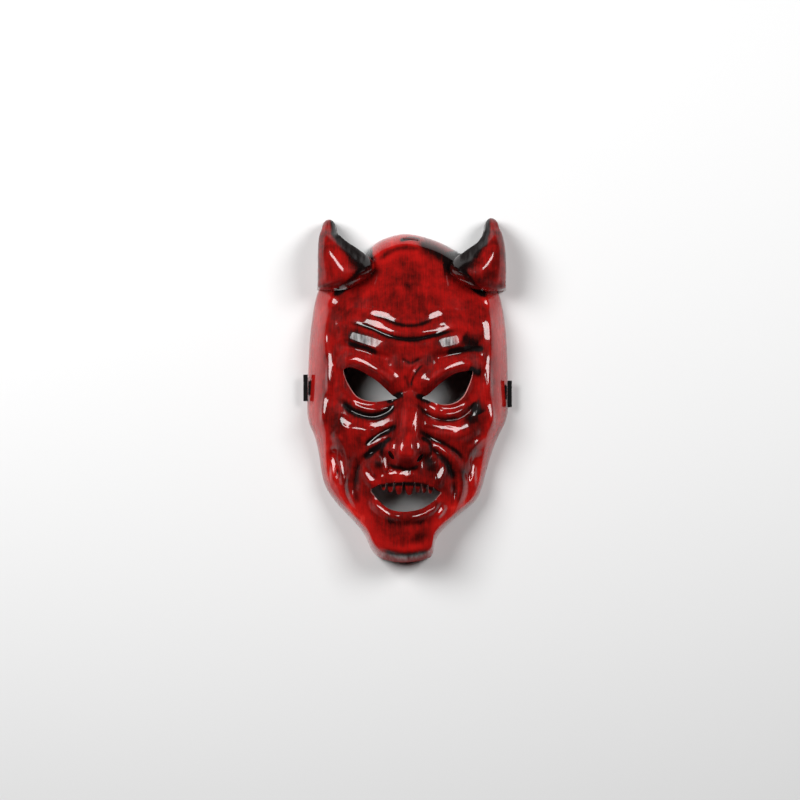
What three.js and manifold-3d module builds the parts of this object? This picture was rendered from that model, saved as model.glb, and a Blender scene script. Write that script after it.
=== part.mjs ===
// A devil face mask of thin hard plastic sheet, and the flat elastic that holds it on.
// Millimetres, +Z up. The mask lies face up on its flat rim: X runs across the face,
// Y from the chin to the horns, Z out of the face.

import * as THREE from 'three';
import { mergeVertices } from 'three/addons/utils/BufferGeometryUtils.js';
import Module from 'manifold-3d';

const wasm = await Module();
wasm.setup();

// Driving dimensions
const sheet = 1.0;                     // thickness of the plastic
const plateCentre = [0, -5];           // middle of the face in plan
const plateHalf = [86, 140];           // half width and half height of the face grid's ellipse
const gridCells = [30, 52];            // cells across and along the face
const gridBias = 0.34;                 // how much closer the rows are between brow and chin
const gridMiddle = -0.18;              // where along the face they are closest, from -1 to 1
const wallShare = 0.2;                 // share of the grid that lies on the side wall
const wallPower = 1.6;                 // roundness of the side wall, 1 is a chamfer and 2 an ellipse
const crownPower = 1.7;                // roundness of the face from side to side, 1 is a roof and 2 an arch
const below = 6;                       // how far the bodies reach below the rim before it is trimmed
const boxShift = [-0.03, -1.06];       // puts the origin at the middle of the mask's box
const crownEnd = 1.35;                 // the crown stops falling at this many half widths
const punch = { from: 20, deep: 90 };  // height range of the straight cutters
const trim = { wide: 400, deep: 30 };  // block that trims the bodies at the rim plane

// Rim of the head in plan, anticlockwise from the viewer's right.
const rimPoints = [
  [85.6, 7], [85.2, 30], [83.8, 52], [81, 72], [77, 86], [68, 99], [57, 110], [45, 118.4],
  [24.5, 129.2], [0, 135.3], [-19, 131.6], [-30, 125], [-38, 116], [-52, 109], [-67, 99], [-77, 85],
  [-81.6, 63.5], [-84, 41], [-85.3, 15], [-86, -12], [-84.5, -26], [-79.6, -38], [-76, -53], [-73, -72],
  [-68.4, -84.3], [-59, -97], [-46, -110.6], [-37, -122], [-30.5, -135.5], [-22, -142.6], [-4, -145.5],
  [14, -143], [21, -138.5], [24, -126], [32, -115.5], [46, -103], [57, -93.8], [63, -83], [69, -61],
  [76, -41], [83.5, -25.5], [86, -12],
];

// Cross sections up the face: y, height at the middle, half width, and how much lower the sides are.
const sections = [
  [-146, 47, 22, 8], [-128, 55, 28, 12], [-108, 59, 44, 27], [-82, 60.6, 60, 35], [-52, 60.6, 66, 31],
  [-25, 58.6, 70, 22], [0, 58, 68, 20], [25, 61, 67, 21], [45, 62, 67, 22], [62, 57.2, 67, 22],
  [75, 50.5, 66, 21], [100, 38, 62, 16], [122, 27.5, 46, 8], [136, 22, 30, 3],
];
// Plan width of the side wall against y.
const wallWidths = [
  [-146, 9.5], [-128, 9], [-110, 6], [-92, 5.5], [-72, 7], [-50, 9], [-30, 13], [-12, 15],
  [10, 18], [60, 17], [95, 14], [122, 11], [136, 11],
];

// Ridges (raised) and furrows (sunk): points of the line, height, reach to its left, reach to its right, and
// for some the share that fades at each end, the height at the last point and how much the reach grows.
const lines = [
  // forehead
  { at: [[-24, 119], [-31, 106], [-39, 93], [-52, 83], [-66, 72]], rise: -2.5, left: 6, right: 6 },
  { at: [[36, 116], [42, 102], [50, 90], [62, 81], [72, 72]], rise: -2.5, left: 6, right: 6 },
  { at: [[-34, 64.5], [-21, 61.5], [-9, 57], [2, 55.5], [13, 57.5], [24, 62.5]],
    rise: -1.8, left: 3.6, right: 3.6 },
  { at: [[-50, 58.5], [-33, 54], [-16, 46.5], [2, 43.5], [20, 46.5], [44, 53]],
    rise: -3, left: 3.6, right: 3.6 },
  { at: [[-48, 45], [-36, 42], [-26, 38]], rise: 2.4, left: 7, right: 5 },
  { at: [[24, 38], [36, 42], [48, 44]], rise: 2.4, left: 7, right: 5 },
  { at: [[-56, 42], [-42, 38], [-27, 32.5], [-12, 26.5]], rise: -3, left: 3.8, right: 6, ends: 0.12 },
  { at: [[64, 37], [48, 35.5], [34, 32.8], [20, 28.5]], rise: -3, left: 6, right: 3.8, ends: 0.12 },
  // brows, the furrow between them and the rims under the eyes
  { at: [[-62, 20], [-50, 25.5], [-37, 24], [-25, 17], [-14, 10.5], [-3, 5.5]],
    rise: 7.5, left: 8, right: 8, ends: 0.22, endRise: 6 },
  { at: [[64, 17], [53, 22], [41, 21.5], [29, 16.5], [18, 10.5], [6, 5.5]],
    rise: 7.5, left: 8, right: 8, ends: 0.22, endRise: 6 },
  { at: [[9, 25], [3.5, 17], [1.9, 9], [1.6, 1]], rise: -2.2, left: 3.6, right: 3.6 },
  { at: [[-51.5, 19], [-50, 9], [-45, 1], [-38, -3.5], [-28, -5.5], [-19, -4.5]],
    rise: 5, left: 4.4, right: 4.4 },
  { at: [[16, -4], [24, -6.5], [33, -7.5], [41, -5], [46.5, 0], [50, 8], [51.5, 18]],
    rise: 5, left: 4.4, right: 4.4 },
  // bags under the eyes
  { at: [[-57, -5], [-49, -14], [-39, -19], [-28, -20.5], [-17, -16.5], [-10, -10]],
    rise: -3.6, left: 3.6, right: 3.6 },
  { at: [[-52, -4], [-44, -11], [-34, -14.5], [-24, -14], [-15, -10]], rise: 2.4, left: 4, right: 4 },
  { at: [[8, -9], [14, -17], [23, -21.8], [33, -23.5], [44, -21.5], [53, -14], [59, -2]],
    rise: -3.2, left: 3.6, right: 3.6 },
  { at: [[16, -12], [26, -17], [36, -18.5], [46, -15], [53, -6]], rise: 2.4, left: 4, right: 4 },
  // cheeks: pads, temple edges, hollows and the straps of muscle below the cheekbones
  { at: [[-64, -20], [-53, -29], [-38, -32], [-24, -30]], rise: 4.5, left: 6, right: 11 },
  { at: [[20, -31], [34, -35], [50, -34], [64, -26]], rise: 4.5, left: 11, right: 6 },
  { at: [[-64, 34], [-65, 18], [-66, 2], [-70, -10], [-71, -20], [-66, -30]],
    rise: 2.5, left: 3.6, right: 3.6 },
  { at: [[68, 30], [67, 14], [66, 0], [69, -14], [71, -26], [67, -36]], rise: 2.5, left: 3.6, right: 3.6 },
  { at: [[-62, -44], [-59, -60], [-58, -76]], rise: -5, left: 9, right: 8 },
  { at: [[62, -48], [57, -62], [55, -78]], rise: -4.5, left: 8, right: 9 },
  { at: [[-64, -34], [-57, -40], [-53, -50], [-51, -62]], rise: 3, left: 3.6, right: 4 },
  { at: [[68, -38], [58, -43], [52, -52], [50, -64]], rise: 3, left: 4, right: 3.6 },
  // folds that run from the nose around the mouth
  { at: [[-7, -26], [-16, -31], [-27, -37], [-38, -47]], rise: -2.6, left: 3.6, right: 3.6 },
  { at: [[-18, -42], [-28, -48.5], [-38, -57], [-44, -68], [-46, -82], [-41, -97]],
    rise: -3.4, left: 4, right: 4 },
  { at: [[-24, -41], [-36, -50], [-46, -60], [-50, -76], [-46, -92], [-38, -106]],
    rise: 2.6, left: 4, right: 4 },
  { at: [[8, -29], [18, -37], [29, -43], [41, -51], [48, -60]], rise: -2.8, left: 3.6, right: 3.6 },
  { at: [[14, -44], [24, -50], [33, -60], [38, -71], [39, -84], [35, -96]], rise: -3.4, left: 4, right: 4 },
  { at: [[20, -42], [34, -52], [43, -64], [45.5, -78], [42, -94], [34, -106]], rise: 2.8, left: 4, right: 4 },
  { at: [[-24, -52], [-30, -62], [-32, -73]], rise: 4.2, left: 7, right: 7 },
  { at: [[18, -54], [26, -62], [28, -74]], rise: 4.2, left: 7, right: 7 },
  // bridge of the nose
  { at: [[1.5, 1], [0.9, -12], [0, -27], [-1.2, -42], [-2.2, -54], [-2.4, -67]],
    rise: 1.5, left: 7.6, right: 8, ends: 0.24, endRise: 24.5, spread: 1.3 },
  // lips
  { at: [[-36, -81], [-28, -76], [-17, -72.2], [-4, -70.6], [10, -72.5], [20, -76], [31, -82]],
    rise: 1, left: 4.5, right: 3.6, ends: 0.15 },
  { at: [[-33, -87], [-25, -96], [-14, -102.3], [-2, -104], [10, -102.5], [21, -97], [29, -88]],
    rise: 3.8, left: 3.6, right: 3.8, ends: 0.15 },
  { at: [[-27, -122], [-20, -129], [-2, -132], [14, -129], [20, -122]], rise: 2, left: 4, right: 4 },
];

// Round bosses (raised) and hollows (sunk): centre, half sizes along and across, height, turn in degrees.
const rounds = [
  { at: [0, 57], half: [12, 12], rise: -1.8, turn: 0 },       // dip of the forehead
  { at: [1.5, 33], half: [16, 6], rise: -1.5, turn: 0 },      // dip over the frown
  { at: [-31, 4], half: [19, 10.5], rise: -9.5, turn: -24 },  // eye sockets
  { at: [30, 1], half: [18, 10.5], rise: -9.5, turn: 22 },
  { at: [-13, -5], half: [7, 5], rise: -4.5, turn: 0 },       // inner corners of the eyes
  { at: [13, -6], half: [6, 5], rise: -4.5, turn: 0 },
  { at: [-1.5, -42], half: [11, 12], rise: 2.5, turn: 0 },    // tip of the nose
  { at: [-14.8, -46], half: [6, 7.5], rise: 5, turn: -15 },   // wings of the nose
  { at: [11.5, -46], half: [6, 7.5], rise: 5, turn: 15 },
  { at: [-2, -120], half: [20, 12], rise: 2, turn: 0 },       // chin
  { at: [-2, -86], half: [30, 12], rise: -3, turn: 0 },       // set back of the mouth
];

// Horns: plan of the spine from the brow to the tip, half width at the rim, height of the crest, and how far
// the crest lies to the left of the spine.
const hornDraft = 0.06;                // share by which a horn is narrower at its shoulder than at the rim
const hornKeen = 0.5;                  // share of the keen crest in a horn's section, the rest is an arch
const hornBlunt = 0.3;                 // bluntness of the keen crest, as a share of the half width
const hornCap = [12, 6];               // length of the round ends, at the brow and at the tip
const hornCells = [8, 13];             // cells across and along a horn
const hornEase = 0.7;                  // how much closer the rows are at a horn's ends, from 0 to 1
const hornLeast = [0.06, 0.4, 0.3];    // least share of the width, foot and half width at the very ends
const hornLeft = [
  [-48.5, 87.5, 24, 54.5, -3], [-52, 98, 27.5, 57.8, -1.5], [-57, 108.3, 22.3, 56.2, 0.5],
  [-62.6, 119.8, 14.8, 52.6, 2.4], [-66.2, 129.8, 9.4, 45.5, 1.8], [-66.6, 137, 6.4, 36.5, 1],
  [-66.8, 146.4, 5, 22, 0],
];
const hornRight = [
  [55.5, 86.5, 24, 54.5, 3], [59, 97.5, 27, 57.8, 2], [64.3, 108.4, 21.5, 56.2, -1.6],
  [69.2, 120.2, 14, 52.6, -2.2], [71.2, 130.2, 9.4, 45.5, -1.6], [71, 137.5, 6.5, 36.5, -1],
  [70.6, 147.6, 5, 22, 0],
];

// Openings in plan.
const eyeLeft = [
  [-54, 17.5], [-50, 20.5], [-44, 19.6], [-38, 16.8], [-30, 12], [-24, 7.6], [-18, 2], [-13, -2.8],
  [-9, -5.2], [-15, -6.4], [-22, -7.6], [-30, -8.4], [-38.5, -6.4], [-43.6, -3.4], [-48, 2.4], [-51.8, 9.6],
];
const eyeRight = [
  [54, 17.4], [48, 17.4], [38, 14.8], [28.3, 8.2], [22, 2.6], [17, -2], [12, -5], [16, -6.8], [22, -9],
  [28, -10.6], [33.5, -10.8], [40.7, -8.8], [46.8, -3.7], [51, 4.5], [53.6, 12],
];
const mouthLower = [
  [27.6, -84.8], [24.5, -88], [20, -92], [15, -95.2], [8, -98], [-2, -99.4], [-11, -98.8], [-18, -96],
  [-23, -92], [-27.5, -87.6], [-31, -83.6],
];
const mouthUpper = [
  [-31, -81], [-25, -77.4], [-15, -75.2], [-2, -74.6], [10, -75.6], [20, -78.6], [27.6, -83.4],
];
const teeth = [                        // x of the middle, width, y of the tip
  [-20.4, 4.2, -81.8], [-14.6, 5, -83.4], [-7.6, 6.6, -85.2], [1.1, 7.4, -85.4], [8.1, 4.6, -83.8],
  [13.5, 4, -84], [18.8, 4, -84.6],
];
const nostrils = [[-14, -52.4, 1.6, 4, 34], [10.2, -54.8, 1.6, 4.2, -38]];   // x, y, half sizes, turn
const slot = { long: 13, tall: 4, height: 12.3, reach: 14 };                // punched slots for the elastic
const slotSides = [3.6, 0];            // y of the left and the right slot
const slotTop = { x: 2.4, y: 133.3, height: 18, reach: 18 };               // spare slot over the forehead

// Elastic: flat knitted band that runs inside the mask from slot to slot, lying on the table.
const band = { width: 22, thick: 1.3, gathered: 11.5, gatherLength: 15, steps: 44 };
const bandRoute = [
  [-84.7, 3.6, 12.3], [-78, 3.8, 12.1], [-71.5, 8, 8.5], [-65, 18, 4], [-57.5, 32, 1.5], [-47, 48, 0.8],
  [-33.5, 63, 0.75], [-17.5, 73, 0.75], [0, 77, 0.75], [17.5, 73, 0.75], [33.5, 62.5, 0.75], [47, 47, 0.8],
  [57.5, 30.5, 1.5], [65, 16, 4], [71.5, 5, 8.5], [78, 0.3, 12.1], [84.4, 0, 12.3],
];
const bandEnd = { proud: 3.8, tall: 22.6, deep: 4.2, corner: 1 };   // folded and sewn ends outside the slots
const bandEndY = [3.6, -1.5];          // y of the left and the right folded end
const touch = 0.3;                     // gap kept between pieces that touch

const clamp01 = (t) => Math.min(1, Math.max(0, t));
const smooth = (t) => t * t * (3 - 2 * t);

function splinePoints(points, stepsPerSpan, closed) {
  const curve = new THREE.CatmullRomCurve3(
    points.map((p) => new THREE.Vector3(p[0], p[1], p[2] ?? 0)), closed, 'catmullrom', 0.5);
  const spans = closed ? points.length : points.length - 1;
  return curve.getPoints(spans * stepsPerSpan);
}

// Smooth curve through the rows of a table, read off at y.
function fromTable(table, y, column) {
  const last = table.length - 1;
  let i = 0;
  while (i < last - 1 && y > table[i + 1][0]) i += 1;
  const slope = (k) => {
    const a = Math.max(0, k - 1);
    const b = Math.min(last, k + 1);
    return (table[b][column] - table[a][column]) / (table[b][0] - table[a][0]);
  };
  const span = table[i + 1][0] - table[i][0];
  const t = clamp01((y - table[i][0]) / span);
  const rise = smooth(t);
  return table[i][column] * (1 - rise) + table[i + 1][column] * rise
    + span * (slope(i) * t * (1 - t) ** 2 - slope(i + 1) * t * t * (1 - t));
}

// Distance from the plate's centre to the rim, by angle.
const rimByAngle = splinePoints(rimPoints, 8, true)
  .slice(0, -1)
  .map((p) => [p.x - plateCentre[0], p.y - plateCentre[1]])
  .map(([x, y]) => [Math.atan2(y, x), Math.hypot(x, y)])
  .sort((a, b) => a[0] - b[0]);

function rimRadius(angle) {
  const n = rimByAngle.length;
  let k = rimByAngle.findIndex((row) => row[0] > angle);
  if (k < 0) k = n;
  const a = rimByAngle[(k - 1 + n) % n];
  const b = rimByAngle[k % n];
  const gap = (b[0] - a[0] + 2 * Math.PI) % (2 * Math.PI);
  const t = ((angle - a[0] + 2 * Math.PI) % (2 * Math.PI)) / gap;
  return a[1] + (b[1] - a[1]) * t;
}

const lineBodies = lines.map((line) => {
  const points = splinePoints(line.at, 5, false);
  const lengths = [0];
  for (let i = 1; i < points.length; i += 1) {
    lengths.push(lengths[i - 1] + points[i].distanceTo(points[i - 1]));
  }
  const { ends = 0.3, endRise = line.rise, spread = 1 } = line;
  return { ...line, points, lengths, ends, endRise, spread };
});

// Height of one ridge or furrow: a bell curve of the distance to its line, fading at both ends.
function lineHeight(line, x, y) {
  let best = Infinity;
  let side = 0;
  let along = 0;
  const total = line.lengths[line.lengths.length - 1];
  for (let i = 1; i < line.points.length; i += 1) {
    const a = line.points[i - 1];
    const b = line.points[i];
    const sx = b.x - a.x;
    const sy = b.y - a.y;
    const long = Math.hypot(sx, sy);
    const t = clamp01(((x - a.x) * sx + (y - a.y) * sy) / long ** 2);
    const ex = x - a.x - t * sx;
    const ey = y - a.y - t * sy;
    const apart = ex * ex + ey * ey;
    if (apart < best) {
      best = apart;
      side = sx * (y - a.y) - sy * (x - a.x);
      along = (line.lengths[i - 1] + t * long) / total;
    }
  }
  const reach = (side > 0 ? line.left : line.right) * THREE.MathUtils.lerp(1, line.spread, along);
  const fade = smooth(clamp01(Math.min(along, 1 - along) / line.ends));
  return THREE.MathUtils.lerp(line.rise, line.endRise, along) * Math.exp(-best / reach ** 2) * fade;
}

function roundHeight(round, x, y) {
  const turn = THREE.MathUtils.degToRad(round.turn);
  const dx = x - round.at[0];
  const dy = y - round.at[1];
  const u = (dx * Math.cos(turn) + dy * Math.sin(turn)) / round.half[0];
  const v = (-dx * Math.sin(turn) + dy * Math.cos(turn)) / round.half[1];
  return round.rise * Math.exp(-(u * u + v * v));
}

// Height of the face over the rim plane: a crowned plate with the ridges, furrows and bosses added.
function faceHeight(x, y) {
  const across = Math.min(Math.abs(x) / fromTable(sections, y, 2), crownEnd);
  let z = fromTable(sections, y, 1) - fromTable(sections, y, 3) * across ** crownPower;
  for (const line of lineBodies) z += lineHeight(line, x, y);
  for (const round of rounds) z += roundHeight(round, x, y);
  return z;
}

// Point of the face at an angle and a share r of the way out: the outer share is the side wall,
// a superellipse from the plate down to the rim plane.
function facePoint(angle, r) {
  const radius = rimRadius(angle);
  const width = fromTable(wallWidths, plateCentre[1] + radius * Math.sin(angle), 1);
  const flat = 1 - wallShare;
  const s = clamp01((1 - r) / wallShare);
  const inward = width * (1 - Math.cos(s * Math.PI / 2) ** (2 / wallPower));
  const lift = Math.sin(s * Math.PI / 2) ** (2 / wallPower);
  const reach = r < flat ? (r / flat) * (radius - width) : radius - inward;
  const x = plateCentre[0] + reach * Math.cos(angle);
  const y = plateCentre[1] + reach * Math.sin(angle);
  return new THREE.Vector3(x, y, faceHeight(x, y) * lift);
}

// The same point moved into the sheet by a depth, square to the surface.
function facePointInset(angle, r, depth) {
  const point = facePoint(angle, r);
  if (depth === 0) return point;
  const step = 0.004;
  const near = Math.max(r, step * 2);
  const outward = facePoint(angle, Math.min(near + step, 1)).sub(facePoint(angle, near - step));
  const around = facePoint(angle + step, near).sub(facePoint(angle - step, near));
  const normal = outward.cross(around);
  if (r === 1) normal.z = 0;
  return point.addScaledVector(normal.normalize(), -depth);
}

function bareBox(cellsX, cellsY, cellsZ) {
  const box = new THREE.BoxGeometry(2, 2, 2, cellsX, cellsY, cellsZ);
  box.deleteAttribute('normal');
  box.deleteAttribute('uv');
  return mergeVertices(box);
}

// Moves every vertex of a box to its place; the mapping gets coordinates from -1 to 1. Each cell of the
// box is then split along the diagonal whose middle lies nearer to the true surface, which is judged on
// the outer skin so that both skins of a sheet are split alike.
function bend(geometry, place, skin = place) {
  const spots = geometry.attributes.position;
  const from = Array.from(
    { length: spots.count }, (_, i) => new THREE.Vector3().fromBufferAttribute(spots, i));
  from.map((p) => place(p.x, p.y, p.z)).forEach((p, i) => spots.setXYZ(i, p.x, p.y, p.z));
  const to = from.map((p) => skin(p.x, p.y, p.z));
  const corners = geometry.index.array;
  const middle = (list, a, b) => list[a].clone().add(list[b]).multiplyScalar(0.5);
  for (let k = 0; k < corners.length; k += 6) {
    const [a, b, d, , c] = corners.slice(k, k + 6);
    const seat = middle(from, a, c);
    const surface = skin(seat.x, seat.y, seat.z);
    if (middle(to, a, c).distanceTo(surface) < middle(to, b, d).distanceTo(surface)) {
      corners.set([a, b, c, a, c, d], k);
    }
  }
  return geometry;
}

function solidOf(geometry) {
  return new wasm.Manifold(new wasm.Mesh({
    numProp: 3,
    vertProperties: new Float32Array(geometry.attributes.position.array),
    triVerts: new Uint32Array(geometry.index.array),
  }));
}

// Body under the face, filled down past the rim plane. The square grid is rounded to a disc.
function faceBody(depth, floor) {
  const placeAt = (inset) => (u, row, w) => {
    const v = row + gridBias * (row - gridMiddle) * (row * row - 1);
    const a = u * Math.sqrt(1 - v * v / 2);
    const b = v * Math.sqrt(1 - u * u / 2);
    const angle = Math.atan2(b * plateHalf[1], a * plateHalf[0]);
    const onRim = Math.max(Math.abs(u), Math.abs(row)) === 1;
    const p = facePointInset(angle, onRim ? 1 : Math.hypot(a, b), inset);
    if (w < 0) p.z = floor;
    return p;
  };
  return solidOf(bend(bareBox(gridCells[0], gridCells[1], 1), placeAt(depth), placeAt(0)));
}

// Horn over its spine: a section between a round arch and a hyperbola, with round ends and walls that drop
// to the rim plane.
function hornBody(stations, depth, floor) {
  const spine = splinePoints(stations.map((s) => [s[0], s[1], 0]), 4, false);
  const widths = splinePoints(stations.map((s) => [s[2], s[3], s[4]]), 4, false);
  const lengths = [0];
  for (let i = 1; i < spine.length; i += 1) lengths.push(lengths[i - 1] + spine[i].distanceTo(spine[i - 1]));
  const total = lengths[lengths.length - 1];
  const capPart = (t, long) => Math.sqrt(1 - (1 - clamp01(t / long)) ** 2);
  return solidOf(bend(bareBox(hornCells[0], 2, hornCells[1]), (u, v, w) => {
    const eased = (1 - Math.cos((w + 1) * Math.PI / 2)) / 2;
    const share = THREE.MathUtils.lerp((w + 1) / 2, eased, hornEase);
    const t = THREE.MathUtils.lerp(depth, total - depth, share);
    let i = 1;
    while (i < lengths.length - 1 && lengths[i] < t) i += 1;
    const mix = (t - lengths[i - 1]) / (lengths[i] - lengths[i - 1]);
    const spot = spine[i - 1].clone().lerp(spine[i], mix);
    const size = widths[i - 1].clone().lerp(widths[i], mix);
    const ahead = spine[i].clone().sub(spine[i - 1]).normalize();
    const sideways = new THREE.Vector3(-ahead.y, ahead.x, 0);
    const cap = Math.max(
      hornLeast[0], capPart(t - depth, hornCap[0]) * capPart(total - depth - t, hornCap[1]));
    const foot = Math.max(hornLeast[1], (size.x - depth) * cap);
    const half = Math.max(hornLeast[2], (size.x * (1 - hornDraft) - depth) * cap);
    const lean = Math.atan(hornDraft * size.x / (size.y - size.x));
    const round = half / Math.cos(lean);
    const middle = size.y - depth - (size.x * (1 - hornDraft) - depth) / Math.cos(lean);
    const shoulder = middle + round * Math.sin(lean);
    if (v === 1) {
      const turn = u * (Math.PI / 2 - lean);
      const blunt = hornBlunt * half;
      const steep = Math.sqrt((middle + round - shoulder + blunt) ** 2 - blunt ** 2) / half;
      const keen = Math.hypot(steep * round * Math.sin(turn), blunt) - blunt;
      spot.addScaledVector(sideways, round * Math.sin(turn) + size.z * cap * Math.cos(turn));
      spot.z = middle + round - THREE.MathUtils.lerp(round * (1 - Math.cos(turn)), keen, hornKeen);
    } else if (v === 0) {
      spot.addScaledVector(sideways, u * (half + foot) / 2);
      spot.z = shoulder / 2;
    } else {
      spot.addScaledVector(sideways, u * foot);
      spot.z = floor;
    }
    return spot;
  }));
}

// Straight cutter through the face along Z, from an outline in plan.
function punchDown(points) {
  const outline = new THREE.Shape(points.map((p) => new THREE.Vector2(p[0], p[1])));
  const body = new THREE.ExtrudeGeometry(
    outline, { depth: punch.deep, bevelEnabled: false, curveSegments: 1 });
  body.translate(0, 0, punch.from);
  body.deleteAttribute('normal');
  body.deleteAttribute('uv');
  return solidOf(mergeVertices(body));
}

function mouthOutline() {
  const upper = splinePoints(mouthUpper, 3, false);
  const edge = (x) => {
    const k = Math.max(1, upper.findIndex((p) => p.x > x));
    const t = clamp01((x - upper[k - 1].x) / (upper[k].x - upper[k - 1].x));
    return THREE.MathUtils.lerp(upper[k - 1].y, upper[k].y, t);
  };
  const points = mouthLower.map((p) => [...p]);
  points.push(mouthUpper[0]);
  for (const [x, width, tip] of teeth) {
    const half = width / 2;
    const root = edge(x);
    points.push([x - half - 0.3, edge(x - half - 0.3)]);
    points.push([x - half * 0.95, (root + tip) / 2]);
    points.push([x - half * 0.5, tip]);
    points.push([x + half * 0.5, tip]);
    points.push([x + half * 0.95, (root + tip) / 2]);
    points.push([x + half + 0.3, edge(x + half + 0.3)]);
  }
  points.push(mouthUpper[mouthUpper.length - 1]);
  return points;
}

function nostrilOutline([x, y, halfWide, halfTall, turn]) {
  const a = THREE.MathUtils.degToRad(turn);
  return Array.from({ length: 8 }, (_, i) => {
    const angle = i * Math.PI / 4;
    const u = halfWide * Math.cos(angle);
    const v = halfTall * Math.sin(angle);
    return [x + u * Math.cos(a) - v * Math.sin(a), y + u * Math.sin(a) + v * Math.cos(a)];
  });
}

function plainBox(x, y, z, wide, long, tall) {
  return solidOf(bend(bareBox(1, 1, 1), (u, v, w) => new THREE.Vector3(
    x + u * wide / 2, y + v * long / 2, z + w * tall / 2)));
}

function slotCutters() {
  const across = [-1, 1].map((side, k) => plainBox(
    side * plateHalf[0], slotSides[k], slot.height, slot.reach, slot.long, slot.tall));
  const over = plainBox(slotTop.x, slotTop.y, slotTop.height, slot.long, slotTop.reach, slot.tall);
  return [...across, over];
}

function meshOf(name, geometry, material) {
  geometry.computeVertexNormals();
  const mesh = new THREE.Mesh(geometry, material);
  mesh.name = name;
  return mesh;
}

function maskShell() {
  let body = faceBody(0, -below);
  let hollow = faceBody(sheet, -below - 1);
  for (const stations of [hornLeft, hornRight]) {
    body = body.add(hornBody(stations, 0, -below));
    hollow = hollow.add(hornBody(stations, sheet, -below - 1));
  }
  let shell = body.subtract(hollow);
  shell = shell.subtract(plainBox(0, 0, -trim.deep / 2, trim.wide, trim.wide, trim.deep));
  for (const outline of [eyeLeft, eyeRight]) {
    shell = shell.subtract(punchDown(splinePoints(outline, 2, true).slice(0, -1).map((p) => [p.x, p.y])));
  }
  shell = shell.subtract(punchDown(mouthOutline()));
  for (const nostril of nostrils) shell = shell.subtract(punchDown(nostrilOutline(nostril)));
  for (const cutter of slotCutters()) shell = shell.subtract(cutter);
  const cut = shell.getMesh();
  const geometry = new THREE.BufferGeometry();
  geometry.setAttribute('position', new THREE.BufferAttribute(new Float32Array(cut.vertProperties), 3));
  geometry.setIndex(new THREE.BufferAttribute(new Uint32Array(cut.triVerts), 1));
  return meshOf('mask_shell', geometry, new THREE.MeshStandardMaterial({
    color: 0x9c0f12, roughness: 0.18, metalness: 0,
  }));
}

// Flat band along its route, kept level across, and gathered where it goes through the slots.
function elasticStrap() {
  const curve = new THREE.CatmullRomCurve3(
    bandRoute.map((p) => new THREE.Vector3(...p)), false, 'catmullrom', 0.5);
  const total = curve.getLength();
  const geometry = bend(bareBox(band.steps, 1, 1), (u, v, w) => {
    const share = (u + 1) / 2;
    const spot = curve.getPointAt(share);
    const ahead = curve.getTangentAt(share);
    const sideways = new THREE.Vector3(-ahead.y, ahead.x, 0).normalize();
    const upwards = ahead.clone().cross(sideways).normalize();
    const fromSlot = Math.min(share, 1 - share) * total;
    const opened = smooth(clamp01((fromSlot - 6) / band.gatherLength));
    const width = THREE.MathUtils.lerp(band.gathered, band.width, opened);
    return spot.addScaledVector(sideways, v * width / 2).addScaledVector(upwards, w * band.thick / 2);
  });
  return meshOf('elastic_strap', geometry, new THREE.MeshStandardMaterial({
    color: 0x141416, roughness: 0.85, metalness: 0,
  }));
}

// Folded end outside a slot: a rounded bar that can't pull through.
function strapEnd(name, side, y) {
  const outline = new THREE.Shape();
  const corner = bandEnd.corner;
  const half = bandEnd.deep / 2;
  outline.moveTo(0, -half);
  outline.lineTo(bandEnd.proud - corner, -half);
  outline.absarc(bandEnd.proud - corner, -half + corner, corner, -Math.PI / 2, 0);
  outline.absarc(bandEnd.proud - corner, half - corner, corner, 0, Math.PI / 2);
  outline.lineTo(0, half);
  const geometry = new THREE.ExtrudeGeometry(
    outline, { depth: bandEnd.tall, bevelEnabled: false, curveSegments: 3 });
  geometry.rotateX(Math.PI / 2);
  geometry.translate(0, bandEnd.tall / 2, 0);
  geometry.deleteAttribute('normal');
  geometry.deleteAttribute('uv');
  const mesh = meshOf(name, mergeVertices(geometry), new THREE.MeshStandardMaterial({
    color: 0x141416, roughness: 0.85, metalness: 0,
  }));
  const start = side < 0 ? bandRoute[0] : bandRoute[bandRoute.length - 1];
  mesh.position.set(start[0] + side * touch, y, slot.height);
  if (side < 0) mesh.rotation.z = Math.PI;
  return mesh;
}

const mask = new THREE.Group();
mask.position.set(boxShift[0], boxShift[1], 0);
mask.add(maskShell());
mask.add(elasticStrap());
mask.add(strapEnd('strap_end_left', -1, bandEndY[0]));
mask.add(strapEnd('strap_end_right', 1, bandEndY[1]));

export default mask;
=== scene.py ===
import bpy
import numpy as np
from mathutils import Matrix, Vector


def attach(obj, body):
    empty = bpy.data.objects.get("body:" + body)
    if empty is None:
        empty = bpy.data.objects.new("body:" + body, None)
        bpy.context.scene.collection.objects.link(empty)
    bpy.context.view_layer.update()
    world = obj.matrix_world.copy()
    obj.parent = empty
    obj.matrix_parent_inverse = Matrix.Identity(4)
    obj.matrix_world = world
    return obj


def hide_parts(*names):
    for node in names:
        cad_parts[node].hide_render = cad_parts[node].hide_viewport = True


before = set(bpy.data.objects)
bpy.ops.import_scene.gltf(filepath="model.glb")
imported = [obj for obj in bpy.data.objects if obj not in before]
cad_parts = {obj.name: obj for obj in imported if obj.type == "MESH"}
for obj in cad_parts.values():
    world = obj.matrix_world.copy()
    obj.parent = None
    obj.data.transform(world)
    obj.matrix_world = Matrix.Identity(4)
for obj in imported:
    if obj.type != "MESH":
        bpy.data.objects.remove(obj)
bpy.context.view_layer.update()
print("frame loaded", sorted(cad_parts))

perMetre = 0.001   # metres in a millimetre
boxShift = np.array([-0.03, -1.06, 0.0])   # from the middle of the face plan to the middle of the mask's box


def addObject(name, data):
    made = bpy.data.objects.new(name, data)
    bpy.context.scene.collection.objects.link(made)
    return made


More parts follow.
